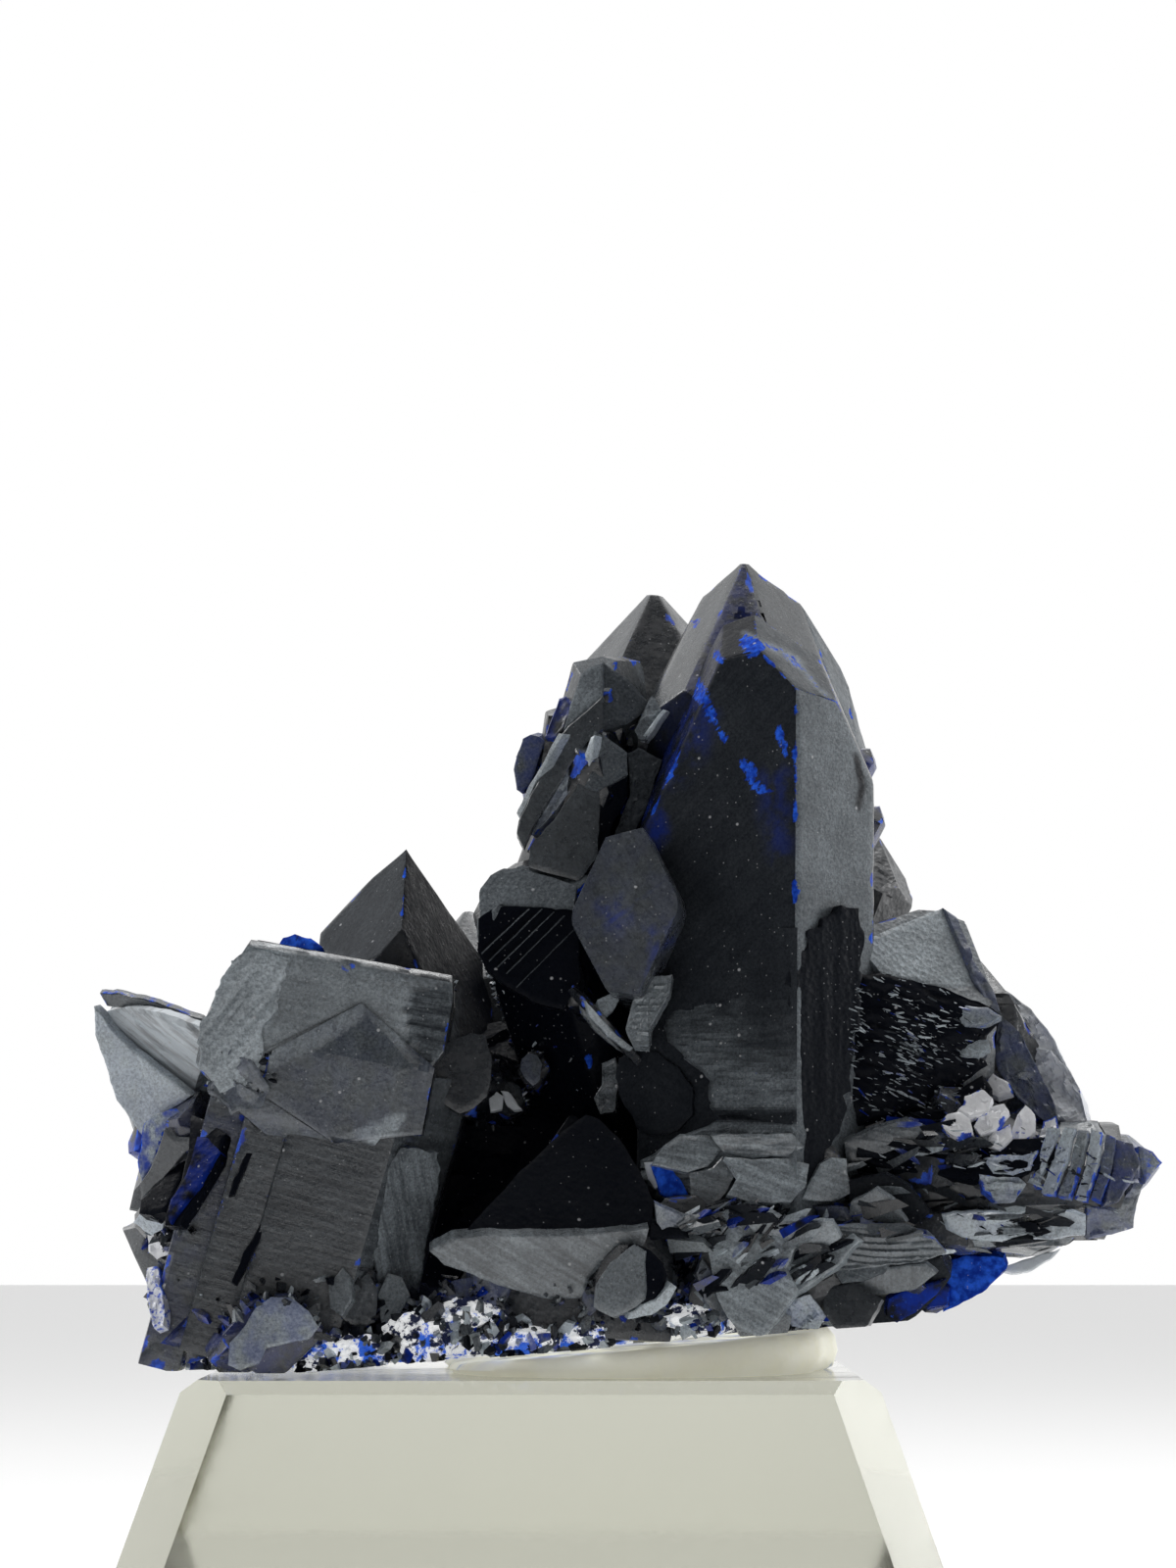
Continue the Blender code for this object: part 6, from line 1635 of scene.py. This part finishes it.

# small crystals and crumbs strewn over the rough places: middle, reach, how many, length, share painted as
# glints

strewn = {
    "glints": {
        "seed": 5, "on": ("leftCrystals", "heartCrystals", "massiveHeart"),
        "places": (((-1, -4, 25.5), (3.4, 4, 3), 200, (0.08, 0.3), 0.1),
                   ((-2.6, -3, 29.8), (1.6, 3, 1.8), 120, (0.08, 0.3), 0.3),
                   ((-12.6, -13, 25.2), (1.5, 2, 1.2), 110, (0.15, 0.45), 0),
                   ((-0.6, -9, 20.6), (2.6, 4, 2.2), 300, (0.04, 0.1), 0.5))},
    "splinters": {
        "seed": 6, "on": ("rightCrystals", "rightFacets", "spireFacets"), "slim": (0.05, 0.16),
        "lean": (0.9, -0.2, -0.38),
        "places": (((16.2, -8.4, 26.6), (3.6, 2, 3.7), 620, (0.12, 0.5), 0.6),
                   ((20.5, -10, 20.5), (6, 3.5, 2.6), 420, (0.12, 0.5), 0.6))},
    "shardsRising": {
        "seed": 7, "on": ("rightCrystals", "spireFacets", "rightFacets", "frontSpire"),
        "slim": (0.08, 0.3), "lean": (0.8, -0.2, 0.5),
        "places": (((9.2, -11.5, 17.6), (4.6, 3, 2.2), 300, (0.4, 1.5), 0.12),)},
    "shardsLevel": {
        "seed": 9, "on": ("rightCrystals", "rightFacets"), "slim": (0.07, 0.25), "lean": (1, -0.1, 0.12),
        "places": (((17.5, -9.5, 18.6), (6.5, 4, 2), 190, (0.4, 1.6), 0.2),
                   ((16.5, -9.5, 21.6), (3.5, 3, 1.6), 90, (0.4, 1.8), 0.12))},
    "crustCrystals": {
        "seed": 10, "on": ("crust",), "slim": (0.25, 0.55),
        "places": (((-8, -12.4, 13.6), (7.5, 3.5, 1.8), 380, (0.2, 0.8), 0.3),
                   ((2.5, -12.6, 14.2), (6.5, 3, 1.6), 320, (0.2, 0.75), 0.3),
                   ((-15, -6, 13.5), (3.5, 8, 1.8), 260, (0.2, 0.7), 0.3),
                   ((12.5, -6, 15), (4.5, 8, 1.8), 260, (0.2, 0.7), 0.2),
                   ((0, 11, 14), (14, 4, 2), 400, (0.2, 0.8), 0.2))},
    "footCrystals": {
        "seed": 8, "on": ("rimCrystals", "heartCrystals", "columns", "leftCrystals"),
        "places": (((-8, -12, 15), (7, 3.5, 1.8), 620, (0.15, 0.7), 0.05),
                   ((1, -12, 15), (6, 3.5, 1.5), 560, (0.15, 0.6), 0.05),
                   ((9, -11, 16), (5, 3.5, 1.6), 300, (0.2, 0.7), 0.05),
                   ((-15, -8, 17), (2.6, 4, 3.5), 300, (0.2, 0.8), 0.06),
                   ((0, 10, 16), (14, 5, 3), 500, (0.3, 1.2), 0.08))},
}
stubShape = {
    "corners": ((-1, -1, -0.5), (1, -1, -0.5), (1, 1, -0.5), (-1, 1, -0.5),
                (-0.6, -0.5, 0.7), (0.5, -0.6, 1), (0.6, 0.5, 0.85), (-0.5, 0.6, 0.6)),
    "squares": ((0, 3, 2, 1), (4, 5, 6, 7), (0, 1, 5, 4), (1, 2, 6, 5), (2, 3, 7, 6), (3, 0, 4, 7)),
    "blueShare": 0.13, "shinyShare": 0.55}


def strew(name, look):
    # many tapering four-sided stubs with slanted tops, standing on points picked from the pieces'
    # surfaces; they lean at random from the surface, or nearly all one way
    rng = np.random.default_rng(look["seed"])
    spots, leans = [], []
    for word in look["on"]:
        data = bpy.data.objects[word].data
        spot, lean = np.zeros((2, len(data.vertices) * 3), np.float32)
        data.vertices.foreach_get("co", spot)
        data.vertex_normals.foreach_get("vector", lean)
        spots.append(spot.reshape(-1, 3) / mm)
        leans.append(lean.reshape(-1, 3))
    spots, leans = np.concatenate(spots).astype(float), np.concatenate(leans).astype(float)
    places, marks = [], []
    stub = np.array(stubShape["corners"], float)
    for middle, reach, count, (small, large), paintedGlintShare in look["places"]:
        inside = np.nonzero((((spots - middle) / reach) ** 2).sum(axis=1) < 1)[0]
        pick = rng.choice(inside, count)
        out = leans[pick] + rng.normal(0, 0.45, (count, 3))
        if "lean" in look:
            out = 0.35 * out + np.array(look["lean"]) + rng.normal(0, 0.12, (count, 3))
        out /= np.linalg.norm(out, axis=1)[:, None]
        side = np.cross(out, leans[pick] + rng.normal(0, 0.6, (count, 3)))
        side /= np.linalg.norm(side, axis=1)[:, None]
        frames = np.stack([side, np.cross(out, side), out], axis=1)
        length = small + (large - small) * rng.random(count) ** 2
        thick = length[:, None] * rng.uniform(*look.get("slim", (0.16, 0.42)), (count, 2))
        sizes = np.stack([thick[:, 0], thick[:, 1], length], axis=1)
        places.append(spots[pick][:, None] + np.einsum("nvi,nij->nvj", stub[None] * sizes[:, None], frames))
        luck = rng.random(count)
        # painted glints: that share of the stubs is painted silvery white, the rest a faint random painted
        # light
        haze = np.where(luck < paintedGlintShare, 1.0, 0.01 + 0.5 * rng.random(count) ** 4)
        tint = (rng.random(count) < stubShape["blueShare"]) * 0.9
        dull = luck > stubShape["shinyShare"]
        marks.append(np.stack([haze, haze * 0 + 0.1, haze * 0, tint, dull], axis=1))
    place, mark = np.concatenate(places), np.concatenate(marks)
    squares = (np.arange(len(place))[:, None, None] * 8 + stubShape["squares"]).reshape(-1, 4)
    points = place.reshape(-1, 3)
    liftToSeat(points)
    box = np.array([list(end) for end in cadBox]) / mm
    points = np.clip(points, box[0], box[1])
    addCrystals(name, makeMesh(name, points, squares, np.repeat(mark, 6, axis=0), points[:, 0] * 0,
                               points[squares][..., ::2], sharp=20, merge=False))


for word, look in strewn.items():
    strew(word, look)

block = frame["nodes"]["display_block"]
block.data.materials.clear()
block.data.materials.append(clearBlock)
print("rock, putty and block ready")
